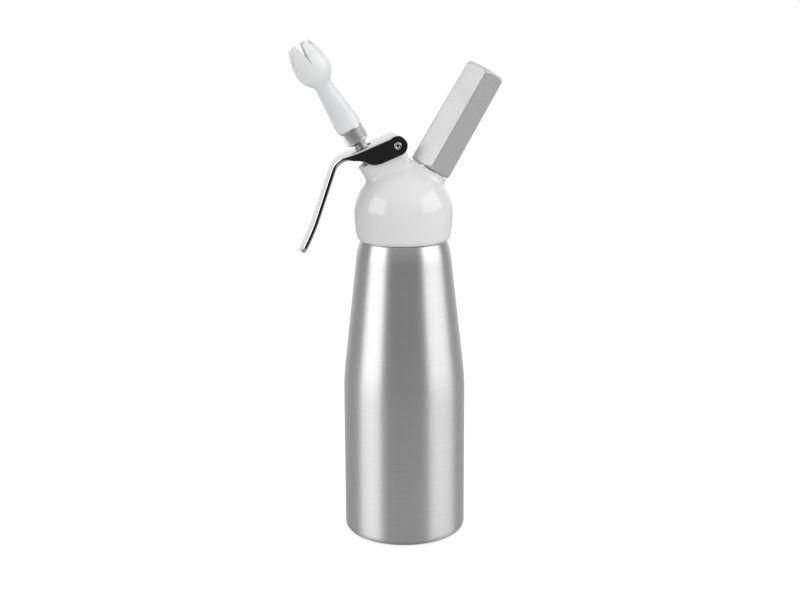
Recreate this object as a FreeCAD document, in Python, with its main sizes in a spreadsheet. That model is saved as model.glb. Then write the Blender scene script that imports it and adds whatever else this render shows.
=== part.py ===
import FreeCAD, Part
import math
import os
import Sketcher

# Cream dispenser: a brushed aluminium bottle with a screwed-on white head. Two horns
# leave the dome: one carries the valve, lever and nozzle, the other the charger holder.
# Frame: origin at the centre of the bottle's foot, +Z up, nozzle and lever towards -X,
# charger holder towards +X, and the plane Y = 0 halves the whole dispenser.

# Driving sizes in millimetres and degrees, one row each: name, value, meaning
SIZES = [
    ("bottle_diameter", 80, "outside of the bottle's straight lower wall"),
    ("bottle_wall", 1.5, "drawn wall of the bottle"),
    ("foot_corner", 5, "rounding from the foot to the wall"),
    ("foot_hollow", 4, "rise of the dished bottom"),
    ("straight_top", 95, "height where the straight wall ends"),
    ("blend_top", 115, "height where the straight cone begins"),
    ("blend_drop", 1.14, "radius lost over the blend"),
    ("blend_curve", 176, "radius of the blend seen from the side"),
    ("shoulder_bottom", 183, "height where the cone ends"),
    ("shoulder_drop", 3.1, "radius lost over the shoulder"),
    ("shoulder_curve", 55, "radius of the shoulder seen from the side"),
    ("shoulder_top", 197, "height of the bottle's upper edge"),
    ("shoulder_radius", 28.1, "radius of the bottle's upper edge"),
    ("neck_radius", 24, "major radius of the neck thread"),
    ("neck_bore", 20.8, "radius of the bottle's mouth"),
    ("neck_height", 16, "neck above the shoulder"),
    ("neck_lead", 1.2, "chamfer that starts the thread"),
    ("foot_slope", 1.2, "slope inside the foot's standing ring"),
    ("stub_bevel", 1.2, "bevel round the mouth of the metal stub"),
    ("seam_gap", 0.5, "open seam between the bottle and the head"),
    ("thread_clearance", 0.3, "radial gap in the neck and holder threads"),
    ("gasket_thickness", 1.9, "flat seal of the head"),
    ("gasket_gap", 0.05, "free height of the flat seal"),
    ("dome_rise", 1, "centre of the head's dome above the bottle's mouth"),
    ("dome_radius", 31.8, "radius of the head's dome"),
    ("rim_radius", 28.5, "radius of the head's lower rim"),
    ("skirt_radius", 30.6, "radius just above the rim's rounding"),
    ("rim_corner", 4, "height of the rim's rounding"),
    ("rim_curve", 4.6, "radius of the rim's rounding"),
    ("skirt_curve", 76, "radius of the skirt seen from the side"),
    ("valve_tilt", 31.5, "lean of the valve horn towards the lever"),
    ("charger_tilt", 31, "lean of the charger horn the other way"),
    ("horn_radius", 8.7, "radius of the valve horn, and half the tower's width"),
    ("horn_top", 41.4, "rim of the valve horn along its axis"),
    ("horn_root", 18, "inner end of the horns inside the dome"),
    ("pin_arm", 18.6, "lever pin to the valve axis"),
    ("pin_station", 41.8, "lever pin along the valve axis"),
    ("knuckle_radius", 4.4, "round top of the tower about the pin"),
    ("tower_back", 20.1, "back wall of the tower, from the valve axis, inside the dome"),
    ("blend_fillet", 5, "soft corner between the dome and the tower"),
    ("boss_fillet", 5, "soft corner between the dome and the charger boss"),
    ("rear_fillet", 4, "rounding of the tower's back corners"),
    ("boss_radius", 12.9, "radius of the charger boss"),
    ("boss_top", 33, "face of the charger boss along its axis"),
    ("valve_bore", 6, "bore of the valve horn"),
    ("bushing_bottom", 8, "inner face of the guide bushing, which is the valve seat"),
    ("bushing_flange", 2, "thickness of the bushing's flange"),
    ("bushing_flange_radius", 8, "radius of the bushing's flange"),
    ("bushing_top", 30, "outer face of the guide bushing"),
    ("running_gap", 0.05, "radial gap of a shaft in its bore"),
    ("stem_radius", 4, "valve stem"),
    ("stem_bore", 2.2, "cream passage in the stem"),
    ("stem_port", 1.4, "cross hole that lets cream into the stem"),
    ("port_station", 10, "cross hole along the valve axis"),
    ("stem_top", 63, "outer end of the stem"),
    ("poppet_radius", 6, "closing disc at the inner end of the stem"),
    ("poppet_bottom", 3.4, "inner end of the stem"),
    ("poppet_thickness", 3, "closing disc"),
    ("seat_seal", 1.5, "rubber ring on the closing disc"),
    ("seal_gap", 0.05, "free height at the valve seat"),
    ("ring_groove", 22, "stem ring seal along the valve axis"),
    ("ring_wire", 0.8, "radius of the ring seal's section"),
    ("spring_wire", 0.9, "wire of the valve spring"),
    ("spring_turns", 5, "turns of the valve spring"),
    ("spring_gap", 0.3, "free room at each end of the spring"),
    ("collar_radius", 5, "collar that the lever presses"),
    ("collar_top", 48.85, "pressed face of the collar along the valve axis"),
    ("collar_height", 2.6, "height of the collar"),
    ("adaptor_radius", 7.6, "knurled nozzle adaptor"),
    ("adaptor_bottom", 55.5, "inner end of the adaptor along the valve axis"),
    ("adaptor_height", 10.9, "knurled length of the adaptor"),
    ("adaptor_chamfer", 1.6, "bevel at the adaptor's inner end"),
    ("spigot_radius", 6.2, "threaded end of the adaptor inside the nozzle"),
    ("spigot_length", 7, "length of that end"),
    ("joint_gap", 0.1, "gap between the adaptor and the nozzle"),
    ("nozzle_seal_height", 1.2, "ring between the adaptor and the nozzle"),
    ("nozzle_base", 8.5, "radius of the nozzle's base"),
    ("nozzle_neck", 5.55, "radius of the nozzle's neck"),
    ("nozzle_bulb", 11.3, "radius of the nozzle's bulb"),
    ("nozzle_mouth", 7.3, "radius of the nozzle's open end"),
    ("neck_rise", 31.5, "nozzle base to its neck"),
    ("bulb_rise", 43.8, "nozzle base to its widest ring"),
    ("nozzle_length", 60.8, "nozzle base to the tips of its petals"),
    ("nozzle_wall", 1.5, "wall of the nozzle"),
    ("petal_count", 6, "petals of the nozzle"),
    ("notch_depth", 13.2, "depth of the notches between petals"),
    ("notch_width", 4.4, "width of a notch at the tips"),
    ("lever_width", 22, "outside width over the lever's cheeks"),
    ("lever_sheet", 1.8, "thickness of the lever's cheeks and top"),
    ("lever_rise", 6.6, "top of the lever above its pin, and its round end"),
    ("lever_lift", 10, "angle of the lever at rest above square to the valve"),
    ("bend_reach", 40.2, "pin to the corner of the handle bend"),
    ("bend_angle", 49.2, "turn of the handle bend"),
    ("bend_radius", 14, "outer radius of the handle bend"),
    ("grip_length", 46.3, "handle from the bend to its lower kink"),
    ("kink_angle", 7.7, "outward turn of the handle's end"),
    ("grip_end", 16, "handle below the kink"),
    ("grip_thickness", 3.0, "thickness of the handle"),
    ("grip_width", 12.6, "width of the handle"),
    ("cheek_reach", 13, "pin to the end of the cheek's straight edge"),
    ("belly_reach", 21.2, "pin to the rise of the cheek's belly"),
    ("belly_rise", 2.7, "lift of the cheek's edge there"),
    ("web_reach", 29, "pin to the point where the cheek has run out"),
    ("web_depth", 4.9, "depth of the cheek there"),
    ("slot_reach", 19.2, "pin to the middle of the stem slot"),
    ("slot_half", 5.5, "half the length of the stem slot"),
    ("slot_gap", 0.5, "side room of the stem in its slot"),
    ("pin_radius", 2, "hollow rivet that carries the lever"),
    ("pin_bore", 0.9, "hole through the rivet"),
    ("pin_head", 2.7, "radius of the rivet's rolled ends"),
    ("pin_head_height", 0.4, "height of the rivet's rolled ends"),
    ("side_gap", 0.1, "side gap at the rivet's ends"),
    ("holder_flats_low", 26.8, "holder across flats at the head"),
    ("holder_flats_high", 24.7, "holder across flats at its closed end"),
    ("holder_gap", 0.6, "gap between the boss and the holder"),
    ("holder_length", 72.6, "charger holder"),
    ("holder_bevel", 1.7, "turned bevel at both ends of the holder"),
    ("holder_turn", 17, "turn of the hexagon about its axis"),
    ("holder_roof", 3, "closed end of the holder"),
    ("charger_radius", 8.9, "gas charger"),
    ("charger_length", 65.6, "gas charger with its neck"),
    ("charger_neck", 3.9, "radius of the charger's neck"),
    ("charger_neck_length", 9, "length of the charger's neck"),
    ("charger_wall", 1.6, "wall of the charger"),
    ("charger_gap", 0.25, "gap round and behind the charger"),
    ("cap_thickness", 0.6, "soft seal of the charger's mouth"),
    ("stub_radius", 10, "threaded stub for the holder"),
    ("stub_length", 12, "thread of the stub"),
    ("stub_root_radius", 8, "part of the stub inside the head"),
    ("stub_root", 18, "inner end of the stub along the charger axis"),
    ("neck_guide_gap", 0.6, "room of the charger's neck in the stub"),
    ("needle_radius", 1.3, "piercing needle"),
    ("needle_bore", 0.45, "gas passage of the needle"),
    ("needle_reach", 5.2, "needle inside the charger's mouth"),
    ("needle_point", 2.6, "length of the needle's point"),
    ("needle_flange", 1.4, "flange of the needle"),
    ("washer_thickness", 2.4, "seal that the charger is pressed on"),
    ("check_radius", 3.1, "one-way rubber disc below the needle"),
    ("check_thickness", 1.6, "thickness of that disc"),
    ("check_seat", 2, "wall between the needle and the disc's room"),
    ("check_travel", 0.8, "lift of that disc off its seat"),
    ("retainer_radius", 5.4, "screwed ring that keeps the disc in"),
    ("retainer_height", 3, "height of that ring"),
]

SHEET = "Sizes"
BIG = 400


class Size:
    """A number together with the sheet expression that gives it."""

    def __init__(self, number, words):
        self.number = number
        self.words = words

    def joined(self, other, sign, flip=False):
        other = other if isinstance(other, Size) else Size(other, repr(other))
        left, right = (other, self) if flip else (self, other)
        results = {
            "+": lambda a, b: a + b,
            "-": lambda a, b: a - b,
            "*": lambda a, b: a * b,
            "/": lambda a, b: a / b,
        }
        words = "(%s %s %s)" % (left.words, sign, right.words)
        return Size(results[sign](left.number, right.number), words)

    def __add__(self, other):
        return self.joined(other, "+")

    def __radd__(self, other):
        return self.joined(other, "+", True)

    def __sub__(self, other):
        return self.joined(other, "-")

    def __rsub__(self, other):
        return self.joined(other, "-", True)

    def __mul__(self, other):
        return self.joined(other, "*")

    def __rmul__(self, other):
        return self.joined(other, "*", True)

    def __truediv__(self, other):
        return self.joined(other, "/")

    def __neg__(self):
        return self * -1


def sine(angle):
    return Size(math.sin(math.radians(angle.number)), "sin(%s)" % angle.words)


def cosine(angle):
    return Size(math.cos(math.radians(angle.number)), "cos(%s)" % angle.words)


def tangent(angle):
    return sine(angle) / cosine(angle)


def number_of(value):
    return value.number if isinstance(value, Size) else float(value)


def words_of(value):
    return value.words if isinstance(value, Size) else repr(float(value))


class Arc:
    """An arc to the point (across, up). side is 1 with its centre on the left, -1 on the right."""

    def __init__(self, across, up, radius, side):
        self.across = across
        self.up = up
        self.radius = radius
        self.side = side


doc = FreeCAD.newDocument("cream_dispenser")
sheet = doc.addObject("Spreadsheet::Sheet", SHEET)
for row, (name, value, meaning) in enumerate(SIZES, start=1):
    sheet.set("A%d" % row, meaning)
    sheet.set("B%d" % row, str(value))
    sheet.setAlias("B%d" % row, name)
doc.recompute()


class Names:
    """Every row of the sheet as an attribute."""


size = Names()
for name, value, meaning in SIZES:
    setattr(size, name, Size(float(value), "%s.%s" % (SHEET, name)))

# Height of the dome's centre, where the axes of both horns meet
neck_top = size.shoulder_top + size.neck_height
dome_height = neck_top + size.dome_rise


def bind(thing, prop, value):
    """Sets a property and ties it to the sheet."""
    if isinstance(value, Size):
        thing.setExpression(prop, value.words)
    else:
        setattr(thing, prop, value)


def place_upright(thing):
    thing.Placement = FreeCAD.Placement()


def place_tilted(thing, axis_y, angle, across=0.0, up=None, turn=0.0):
    """Leans a piece about the dome's centre, or about a given point of the plane Y = 0."""
    up = dome_height if up is None else up
    lean = FreeCAD.Rotation(FreeCAD.Vector(0, axis_y, 0), angle.number)
    base = FreeCAD.Vector(number_of(across), 0, number_of(up))
    thing.Placement = FreeCAD.Placement(base, lean)
    thing.setExpression("Placement.Base.x", words_of(across))
    thing.setExpression("Placement.Base.z", words_of(up))
    thing.setExpression("Placement.Rotation.Angle", "%s * 1 deg" % angle.words)


def on_valve_axis(thing):
    place_tilted(thing, -1, size.valve_tilt)


def on_charger_axis(thing):
    place_tilted(thing, 1, size.charger_tilt)


def new_body(label):
    body = doc.addObject("PartDesign::Body", label)
    body.Label = label
    return body


def origin_plane(body, role):
    return [item for item in body.Origin.OriginFeatures if item.Role == role][0]


def arc_geometry(start, end, radius, side):
    """The sketch arc between two points, and which of its ends is the start."""
    chord = math.hypot(end[0] - start[0], end[1] - start[1])
    inset = math.sqrt(max(radius * radius - chord * chord / 4, 0))
    left = (-(end[1] - start[1]) / chord, (end[0] - start[0]) / chord)
    centre = [(start[k] + end[k]) / 2 + side * inset * left[k] for k in (0, 1)]
    first, last = (start, end) if side > 0 else (end, start)
    angle_a = math.atan2(first[1] - centre[1], first[0] - centre[0])
    angle_b = math.atan2(last[1] - centre[1], last[0] - centre[0])
    if angle_b <= angle_a:
        angle_b += 2 * math.pi
    circle = Part.Circle(FreeCAD.Vector(centre[0], centre[1], 0), FreeCAD.Vector(0, 0, 1), radius)
    return Part.ArcOfCircle(circle, angle_a, angle_b), (1, 2) if side > 0 else (2, 1)


def draw_outline(sketch, points):
    """Draws a closed outline whose corners and radii are bound to the sheet."""
    corners = []
    for item in points:
        corners.append((item.across, item.up) if isinstance(item, Arc) else item)
    spots = [(number_of(across), number_of(up)) for across, up in corners]
    count = len(corners)
    ends = []
    for index in range(count):
        start, end = spots[index], spots[(index + 1) % count]
        target = points[(index + 1) % count]
        if isinstance(target, Arc):
            shape, order = arc_geometry(start, end, number_of(target.radius), target.side)
        else:
            shape = Part.LineSegment(FreeCAD.Vector(*start, 0), FreeCAD.Vector(*end, 0))
            order = (1, 2)
        sketch.addGeometry(shape, False)
        ends.append(order)
    for index in range(count):
        after = (index + 1) % count
        joint = Sketcher.Constraint("Coincident", index, ends[index][1], after, ends[after][0])
        sketch.addConstraint(joint)
    for index in range(count):
        for kind, value in zip(("DistanceX", "DistanceY"), corners[index]):
            rule = Sketcher.Constraint(kind, -1, 1, index, ends[index][0], number_of(value))
            place = sketch.addConstraint(rule)
            if isinstance(value, Size):
                sketch.setExpression("Constraints[%d]" % place, value.words)
        target = points[(index + 1) % count]
        if isinstance(target, Arc):
            rule = Sketcher.Constraint("Radius", index, number_of(target.radius))
            place = sketch.addConstraint(rule)
            sketch.setExpression("Constraints[%d]" % place, words_of(target.radius))


def outline_sketch(body, name, points, plane="XZ_Plane"):
    sketch = body.newObject("Sketcher::SketchObject", name)
    sketch.AttachmentSupport = (origin_plane(body, plane), [""])
    sketch.MapMode = "FlatFace"
    draw_outline(sketch, points)
    return sketch


def lathe(label, points, place=place_upright):
    """A turned piece: an outline of (radius, height) points, revolved about the piece's Z axis."""
    body = new_body(label)
    sketch = outline_sketch(body, label + "_section", points)
    turned = body.newObject("PartDesign::Revolution", label + "_turned")
    turned.Profile = sketch
    turned.ReferenceAxis = (sketch, ["V_Axis"])
    turned.Angle = 360
    place(body)
    return body


def tube(label, inner, outer, bottom, top, place=place_upright):
    return lathe(label, [(inner, bottom), (outer, bottom), (outer, top), (inner, top)], place)


def plate(label, points, width, place=place_upright):
    """A piece of constant width, centred on the plane Y = 0."""
    body = new_body(label)
    sketch = outline_sketch(body, label + "_side", points)
    pad = body.newObject("PartDesign::Pad", label + "_pad")
    pad.Profile = sketch
    pad.SideType = "Symmetric"
    bind(pad, "Length", width)
    place(body)
    return body


def cut_across(body, name, points, width, plane="XZ_Plane"):
    """Removes an outline over a width centred on the sketch plane, and checks that it cuts."""
    doc.recompute()
    before = body.Shape.Volume
    sketch = outline_sketch(body, name + "_outline", points, plane)
    pocket = body.newObject("PartDesign::Pocket", name)
    pocket.Profile = sketch
    pocket.SideType = "Symmetric"
    bind(pocket, "Length", width)
    doc.recompute()
    if not body.Shape.Volume < before:
        raise RuntimeError(name + " cuts nothing")
    return pocket


def cylinder(name, radius, bottom, top, place=place_upright):
    """A plain round tool for the booleans."""
    rod = doc.addObject("Part::Cylinder", name)
    bind(rod, "Radius", radius)
    bind(rod, "Height", top - bottom)
    place(rod)
    shift_along(rod, bottom)
    return rod


def shift_along(thing, distance):
    """Moves a tool along its own Z axis by a bound distance."""
    axis = thing.Placement.Rotation.multVec(FreeCAD.Vector(0, 0, 1))
    thing.Placement.Base = thing.Placement.Base + axis * number_of(distance)
    if abs(axis.x) < 1e-9:
        thing.setExpression("Placement.Base.z", words_of(distance))
        return
    angle = size.valve_tilt if axis.x < 0 else size.charger_tilt
    sign = -1 if axis.x < 0 else 1
    thing.setExpression("Placement.Base.x", (distance * sine(angle) * sign).words)
    thing.setExpression("Placement.Base.z", (dome_height + distance * cosine(angle)).words)


def joined(name, things):
    fuse = doc.addObject("Part::MultiFuse", name)
    fuse.Shapes = things
    return fuse


def cut(name, base, tool):
    result = doc.addObject("Part::Cut", name)
    result.Base = base
    result.Tool = tool
    return result


def rounded(name, base, radius, wanted):
    """Fillets the edges of a solid that a test picks, with a bound radius."""
    doc.recompute()
    picked = [k for k, edge in enumerate(base.Shape.Edges, start=1) if wanted(edge)]
    if not picked:
        raise RuntimeError(name + " finds no edge")
    result = doc.addObject("Part::Fillet", name)
    result.Base = base
    result.Edges = [(k, radius.number, radius.number) for k in picked]
    doc.recompute()
    return result


def local(vector, angle, side):
    """A point of the part in a horn's own frame: across the axis, sideways, along the axis."""
    lean = math.radians(angle.number)
    height = vector.z - dome_height.number
    across = vector.x * math.cos(lean) - side * height * math.sin(lean)
    along = side * vector.x * math.sin(lean) + height * math.cos(lean)
    return across, vector.y, along


# Bottle
bottle_radius = size.bottle_diameter / 2
blend_radius = bottle_radius - size.blend_drop
shoulder_low = size.shoulder_radius + size.shoulder_drop


def make_bottle():
    wall = size.bottle_wall
    rise = size.foot_hollow
    ring = bottle_radius - size.foot_corner
    points = [
        (0, rise),
        (ring - rise * 2, rise),
        (ring - size.foot_slope, 0),
        (ring, 0),
        Arc(bottle_radius, size.foot_corner, size.foot_corner, 1),
        (bottle_radius, size.straight_top),
        Arc(blend_radius, size.blend_top, size.blend_curve, 1),
        (shoulder_low, size.shoulder_bottom),
        Arc(size.shoulder_radius, size.shoulder_top, size.shoulder_curve, 1),
        (size.neck_radius, size.shoulder_top),
        (size.neck_radius, neck_top - size.neck_lead),
        (size.neck_radius - size.neck_lead, neck_top),
        (size.neck_bore, neck_top),
        (size.neck_bore, size.shoulder_top - wall),
        (size.shoulder_radius - wall * 2, size.shoulder_top - wall * 2),
        (shoulder_low - wall, size.shoulder_bottom),
        (blend_radius - wall, size.blend_top),
        (bottle_radius - wall, size.straight_top),
        (bottle_radius - wall, size.foot_corner),
        Arc(ring, wall, size.foot_corner - wall, -1),
        (ring - size.foot_slope, wall),
        (ring - rise * 2, rise + wall),
        (0, rise + wall),
    ]
    return lathe("bottle", points)


# Head shell: dome, valve tower and charger boss in one moulding
socket_radius = size.neck_radius + size.thread_clearance
rim_height = size.shoulder_top + size.seam_gap
ceiling = neck_top + size.gasket_thickness + size.gasket_gap * 2
skirt_height = rim_height + size.rim_corner
horn_bottom = size.horn_root
knuckle_top = size.pin_station + size.knuckle_radius


def make_head_blank():
    dome = lathe(
        "dome_blank",
        [
            (0, rim_height),
            (size.rim_radius, rim_height),
            Arc(size.skirt_radius, skirt_height, size.rim_curve, 1),
            Arc(size.dome_radius, dome_height, size.skirt_curve, 1),
            Arc(0, dome_height + size.dome_radius, size.dome_radius, 1),
        ],
    )
    horn = cylinder("horn_blank", size.horn_radius, horn_bottom, size.horn_top, on_valve_axis)
    near = size.pin_arm - size.knuckle_radius
    far = size.pin_arm + size.knuckle_radius
    tower = plate(
        "tower_blank",
        [
            (0, horn_bottom),
            (size.tower_back, horn_bottom),
            (far, size.pin_station),
            Arc(size.pin_arm, knuckle_top, size.knuckle_radius, 1),
            Arc(near, size.pin_station, size.knuckle_radius, 1),
            (near, size.horn_top),
            (0, size.horn_top),
        ],
        size.horn_radius * 2,
        on_valve_axis,
    )
    boss = cylinder("boss_blank", size.boss_radius, horn_bottom, size.boss_top, on_charger_axis)
    tower_round = rounded("tower_rounded", tower, size.rear_fillet, is_back_corner)
    tower_join = joined("dome_with_tower", [dome, horn, tower_round])
    soft = rounded("tower_blend", tower_join, size.blend_fillet, is_tower_foot)
    boss_join = joined("dome_with_boss", [soft, boss])
    return rounded("boss_blend", boss_join, size.boss_fillet, is_boss_foot)


def is_back_corner(edge):
    """The two upright corners at the back of the tower."""
    ends = [local(vertex.Point, size.valve_tilt, -1) for vertex in edge.Vertexes]
    if len(ends) < 2:
        return False
    sideways = all(abs(abs(end[1]) - size.horn_radius.number) < 1e-3 for end in ends)
    back = all(end[0] > size.tower_back.number - 0.1 for end in ends)
    return sideways and back


def on_dome(edge):
    centre = FreeCAD.Vector(0, 0, dome_height.number)
    spans = [(edge.valueAt(u) - centre).Length for u in sample_points(edge)]
    return all(abs(span - size.dome_radius.number) < 1e-3 for span in spans)


def sample_points(edge):
    first, last = edge.ParameterRange
    return [first + (last - first) * step / 4 for step in range(5)]


def is_tower_foot(edge):
    """The seam between the dome and the tower."""
    middle = local(edge.valueAt(sum(edge.ParameterRange) / 2), size.valve_tilt, -1)
    return on_dome(edge) and edge.Length > 0.5 and middle[2] > size.horn_root.number


def is_boss_foot(edge):
    """The seam between the dome and the charger boss."""
    spots = [local(edge.valueAt(u), size.charger_tilt, 1) for u in sample_points(edge)]
    reach = [math.hypot(spot[0], spot[1]) for spot in spots]
    on_boss = all(abs(span - size.boss_radius.number) < 1e-3 for span in reach)
    return on_boss and all(spot[2] < size.boss_top.number - 0.5 for spot in spots)


def make_head_shell():
    blank = make_head_blank()
    socket = cylinder("socket_cut", socket_radius, rim_height - size.rim_corner, ceiling)
    valve_hole = cylinder("valve_bore_cut", size.valve_bore, size.bushing_bottom, size.horn_top + size.rim_corner,
                          on_valve_axis)
    flange_top = size.bushing_bottom + size.bushing_flange
    valve_pocket = cylinder("valve_pocket_cut", size.bushing_flange_radius, -size.bushing_flange_radius, flange_top,
                            on_valve_axis)
    gas_pocket = cylinder("gas_pocket_cut", size.retainer_radius, -size.retainer_radius, size.stub_root,
                          on_charger_axis)
    stub_hole = cylinder("stub_cut", size.stub_root_radius, size.stub_root, size.boss_top + size.rim_corner,
                         on_charger_axis)
    pin_hole = pin_cylinder("pin_cut", size.pin_radius + size.running_gap, size.lever_width)
    tools = [socket, valve_hole, valve_pocket, gas_pocket, stub_hole, pin_hole]
    shell = cut("head_shell_cut", blank, joined("head_cuts", tools))
    shell.Label = "head_shell"
    return shell


# Lever pin, whose place is given along and across the valve axis
pin_across = size.pin_arm * cosine(size.valve_tilt) - size.pin_station * sine(size.valve_tilt)
pin_up = (
    dome_height
    + size.pin_arm * sine(size.valve_tilt)
    + size.pin_station * cosine(size.valve_tilt)
)


def pin_cylinder(name, radius, width):
    """A rod on the lever pin's axis, along Y, centred on the plane Y = 0."""
    rod = doc.addObject("Part::Cylinder", name)
    bind(rod, "Radius", radius)
    bind(rod, "Height", width)
    turn = FreeCAD.Rotation(FreeCAD.Vector(1, 0, 0), -90)
    start = FreeCAD.Vector(pin_across.number, -width.number / 2, pin_up.number)
    rod.Placement = FreeCAD.Placement(start, turn)
    rod.setExpression("Placement.Base.x", pin_across.words)
    rod.setExpression("Placement.Base.y", (-width / 2).words)
    rod.setExpression("Placement.Base.z", pin_up.words)
    return rod


def make_lever_pin():
    inner_width = size.lever_width + size.side_gap * 2
    shank = pin_cylinder("pin_shank", size.pin_radius, inner_width)
    full = inner_width + size.pin_head_height * 2
    heads = pin_cylinder("pin_heads", size.pin_head, full)
    waist = pin_cylinder("pin_waist", size.pin_head + 1, inner_width)
    hole = pin_cylinder("pin_hole", size.pin_bore, full + 2)
    rings = cut("pin_rings", heads, waist)
    pin = cut("lever_pin_cut", joined("pin_whole", [shank, rings]), hole)
    pin.Label = "lever_pin"
    return pin


# Lever, drawn level about its pin and then leaned to its rest angle
lever_tilt = size.valve_tilt - size.lever_lift


def make_lever():
    top = size.lever_rise
    turn = size.bend_angle
    end_turn = turn - size.kink_angle
    reach = size.bend_radius * tangent(turn / 2)
    inner_radius = size.bend_radius - size.grip_thickness
    inner_reach = inner_radius * tangent(turn / 2)
    corner = (-size.bend_reach, top)
    thick = size.grip_thickness
    inner_corner = (corner[0] + thick * tangent(turn / 2), top - thick)
    run = (-cosine(turn), -sine(turn))
    end_run = (-cosine(end_turn), -sine(end_turn))
    square = (sine(turn), -cosine(turn))
    end_square = (sine(end_turn), -cosine(end_turn))
    kink = (corner[0] + run[0] * size.grip_length, corner[1] + run[1] * size.grip_length)
    tip = (kink[0] + end_run[0] * size.grip_end, kink[1] + end_run[1] * size.grip_end)
    points = [
        Arc(0, top, top, 1),
        (corner[0] + reach, top),
        Arc(corner[0] + run[0] * reach, top + run[1] * reach, size.bend_radius, 1),
        kink,
        tip,
        (tip[0] + end_square[0] * thick, tip[1] + end_square[1] * thick),
        (kink[0] + square[0] * thick, kink[1] + square[1] * thick),
        (inner_corner[0] + run[0] * inner_reach, inner_corner[1] + run[1] * inner_reach),
        Arc(inner_corner[0] + inner_reach, top - thick, inner_radius, -1),
        (-size.web_reach, top - size.web_depth),
        Arc(-size.belly_reach, -top + size.belly_rise, size.bend_radius, -1),
        Arc(-size.cheek_reach, -top, size.bend_radius, 1),
        (0, -top),
        Arc(top, 0, top, 1),
    ]

    def place(thing):
        place_tilted(thing, -1, lever_tilt, pin_across, pin_up)

    lever = plate("lever", points, size.lever_width, place)
    under = top - size.lever_sheet
    inside = size.lever_width - size.lever_sheet * 2
    channel = [
        (top * 2, -top * 2),
        (top * 2, under),
        (-size.web_reach + size.lever_sheet, under),
        (-size.web_reach + size.lever_sheet, -top * 2),
    ]
    cut_across(lever, "lever_channel", channel, inside)
    half = size.grip_width / 2
    edge = size.lever_width / 2
    for side, name in ((1, "lever_far_trim"), (-1, "lever_near_trim")):
        flank = [
            (-size.web_reach, edge * side),
            (-size.bend_reach, half * side),
            (-BIG, half * side),
            (-BIG, BIG * side),
            (-size.web_reach, BIG * side),
        ]
        cut_across(lever, name, flank, BIG, "XY_Plane")
    slot_side = size.stem_radius + size.slot_gap
    straight = size.slot_half - slot_side
    left = -size.slot_reach - straight
    right = -size.slot_reach + straight
    slot = [
        (right, -slot_side),
        Arc(right + slot_side, 0, slot_side, 1),
        Arc(right, slot_side, slot_side, 1),
        (left, slot_side),
        Arc(left - slot_side, 0, slot_side, 1),
        Arc(left, -slot_side, slot_side, 1),
    ]
    cut_across(lever, "stem_slot", slot, top * 4, "XY_Plane")
    eye = size.pin_radius + size.running_gap
    hole = [
        Arc(0, -eye, eye, 1),
        Arc(eye, 0, eye, 1),
        Arc(0, eye, eye, 1),
        Arc(-eye, 0, eye, 1),
    ]
    cut_across(lever, "pin_eyes", hole, size.lever_width * 2)
    return lever


# Valve: guide bushing, stem, seals, spring and collar on the valve axis
stem_hole = size.stem_radius + size.running_gap
flange_top = size.bushing_bottom + size.bushing_flange
seal_top = size.bushing_bottom - size.seal_gap
seal_bottom = seal_top - size.seat_seal
collar_bottom = size.collar_top - size.collar_height
adaptor_top = size.adaptor_bottom + size.adaptor_height
spring_bottom = size.bushing_top + size.spring_gap
spring_top = collar_bottom - size.spring_gap


def make_bushing():
    groove = size.ring_wire + size.running_gap
    deep = size.stem_radius + size.ring_wire * 2 + size.running_gap * 2
    return lathe(
        "guide_bushing",
        [
            (stem_hole, size.bushing_bottom),
            (size.bushing_flange_radius, size.bushing_bottom),
            (size.bushing_flange_radius, flange_top),
            (size.valve_bore, flange_top),
            (size.valve_bore, size.bushing_top),
            (stem_hole, size.bushing_top),
            (stem_hole, size.ring_groove + groove),
            (deep, size.ring_groove + groove),
            (deep, size.ring_groove - groove),
            (stem_hole, size.ring_groove - groove),
        ],
        on_valve_axis,
    )


def ring_seal(label, inner, wire, station, place):
    """A rubber ring of round section."""
    ring = doc.addObject("Part::Torus", label)
    bind(ring, "Radius1", inner + wire)
    bind(ring, "Radius2", wire)
    place(ring)
    shift_along(ring, station)
    ring.Label = label
    return ring


def make_stem():
    poppet_top = size.poppet_bottom + size.poppet_thickness
    stem = lathe(
        "stem_blank",
        [
            (0, size.poppet_bottom),
            (size.poppet_radius, size.poppet_bottom),
            (size.poppet_radius, poppet_top),
            (size.stem_radius, poppet_top),
            (size.stem_radius, size.stem_top),
            (size.stem_bore, size.stem_top),
            (size.stem_bore, poppet_top + 1),
            (0, poppet_top + 1),
        ],
        on_valve_axis,
    )
    port = doc.addObject("Part::Cylinder", "stem_port_cut")
    bind(port, "Radius", size.stem_port)
    bind(port, "Height", size.stem_radius * 4)
    turn = FreeCAD.Rotation(FreeCAD.Vector(1, 0, 0), -90)
    place_x = -size.port_station * sine(size.valve_tilt)
    place_z = dome_height + size.port_station * cosine(size.valve_tilt)
    base = FreeCAD.Vector(place_x.number, -size.stem_radius.number * 2, place_z.number)
    port.Placement = FreeCAD.Placement(base, turn)
    port.setExpression("Placement.Base.x", place_x.words)
    port.setExpression("Placement.Base.y", (-size.stem_radius * 2).words)
    port.setExpression("Placement.Base.z", place_z.words)
    result = cut("valve_stem_cut", stem, port)
    result.Label = "valve_stem"
    return result


def arc_pair(start, start_run, end, end_run):
    """Two arcs that meet smoothly and leave and reach the points along the given runs."""
    gap = end - start
    both = start_run + end_run
    square = 2 * (start_run.dot(end_run) - 1)
    slope = -2 * gap.dot(both)
    level = gap.dot(gap)
    root = math.sqrt(slope * slope - 4 * square * level)
    reach = max((-slope - root) / (2 * square), (-slope + root) / (2 * square))
    first = start + start_run * reach
    second = end - end_run * reach
    middle = (first + second) / 2
    return [arc_past(start, first, middle), arc_past(middle, second, end)]


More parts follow.
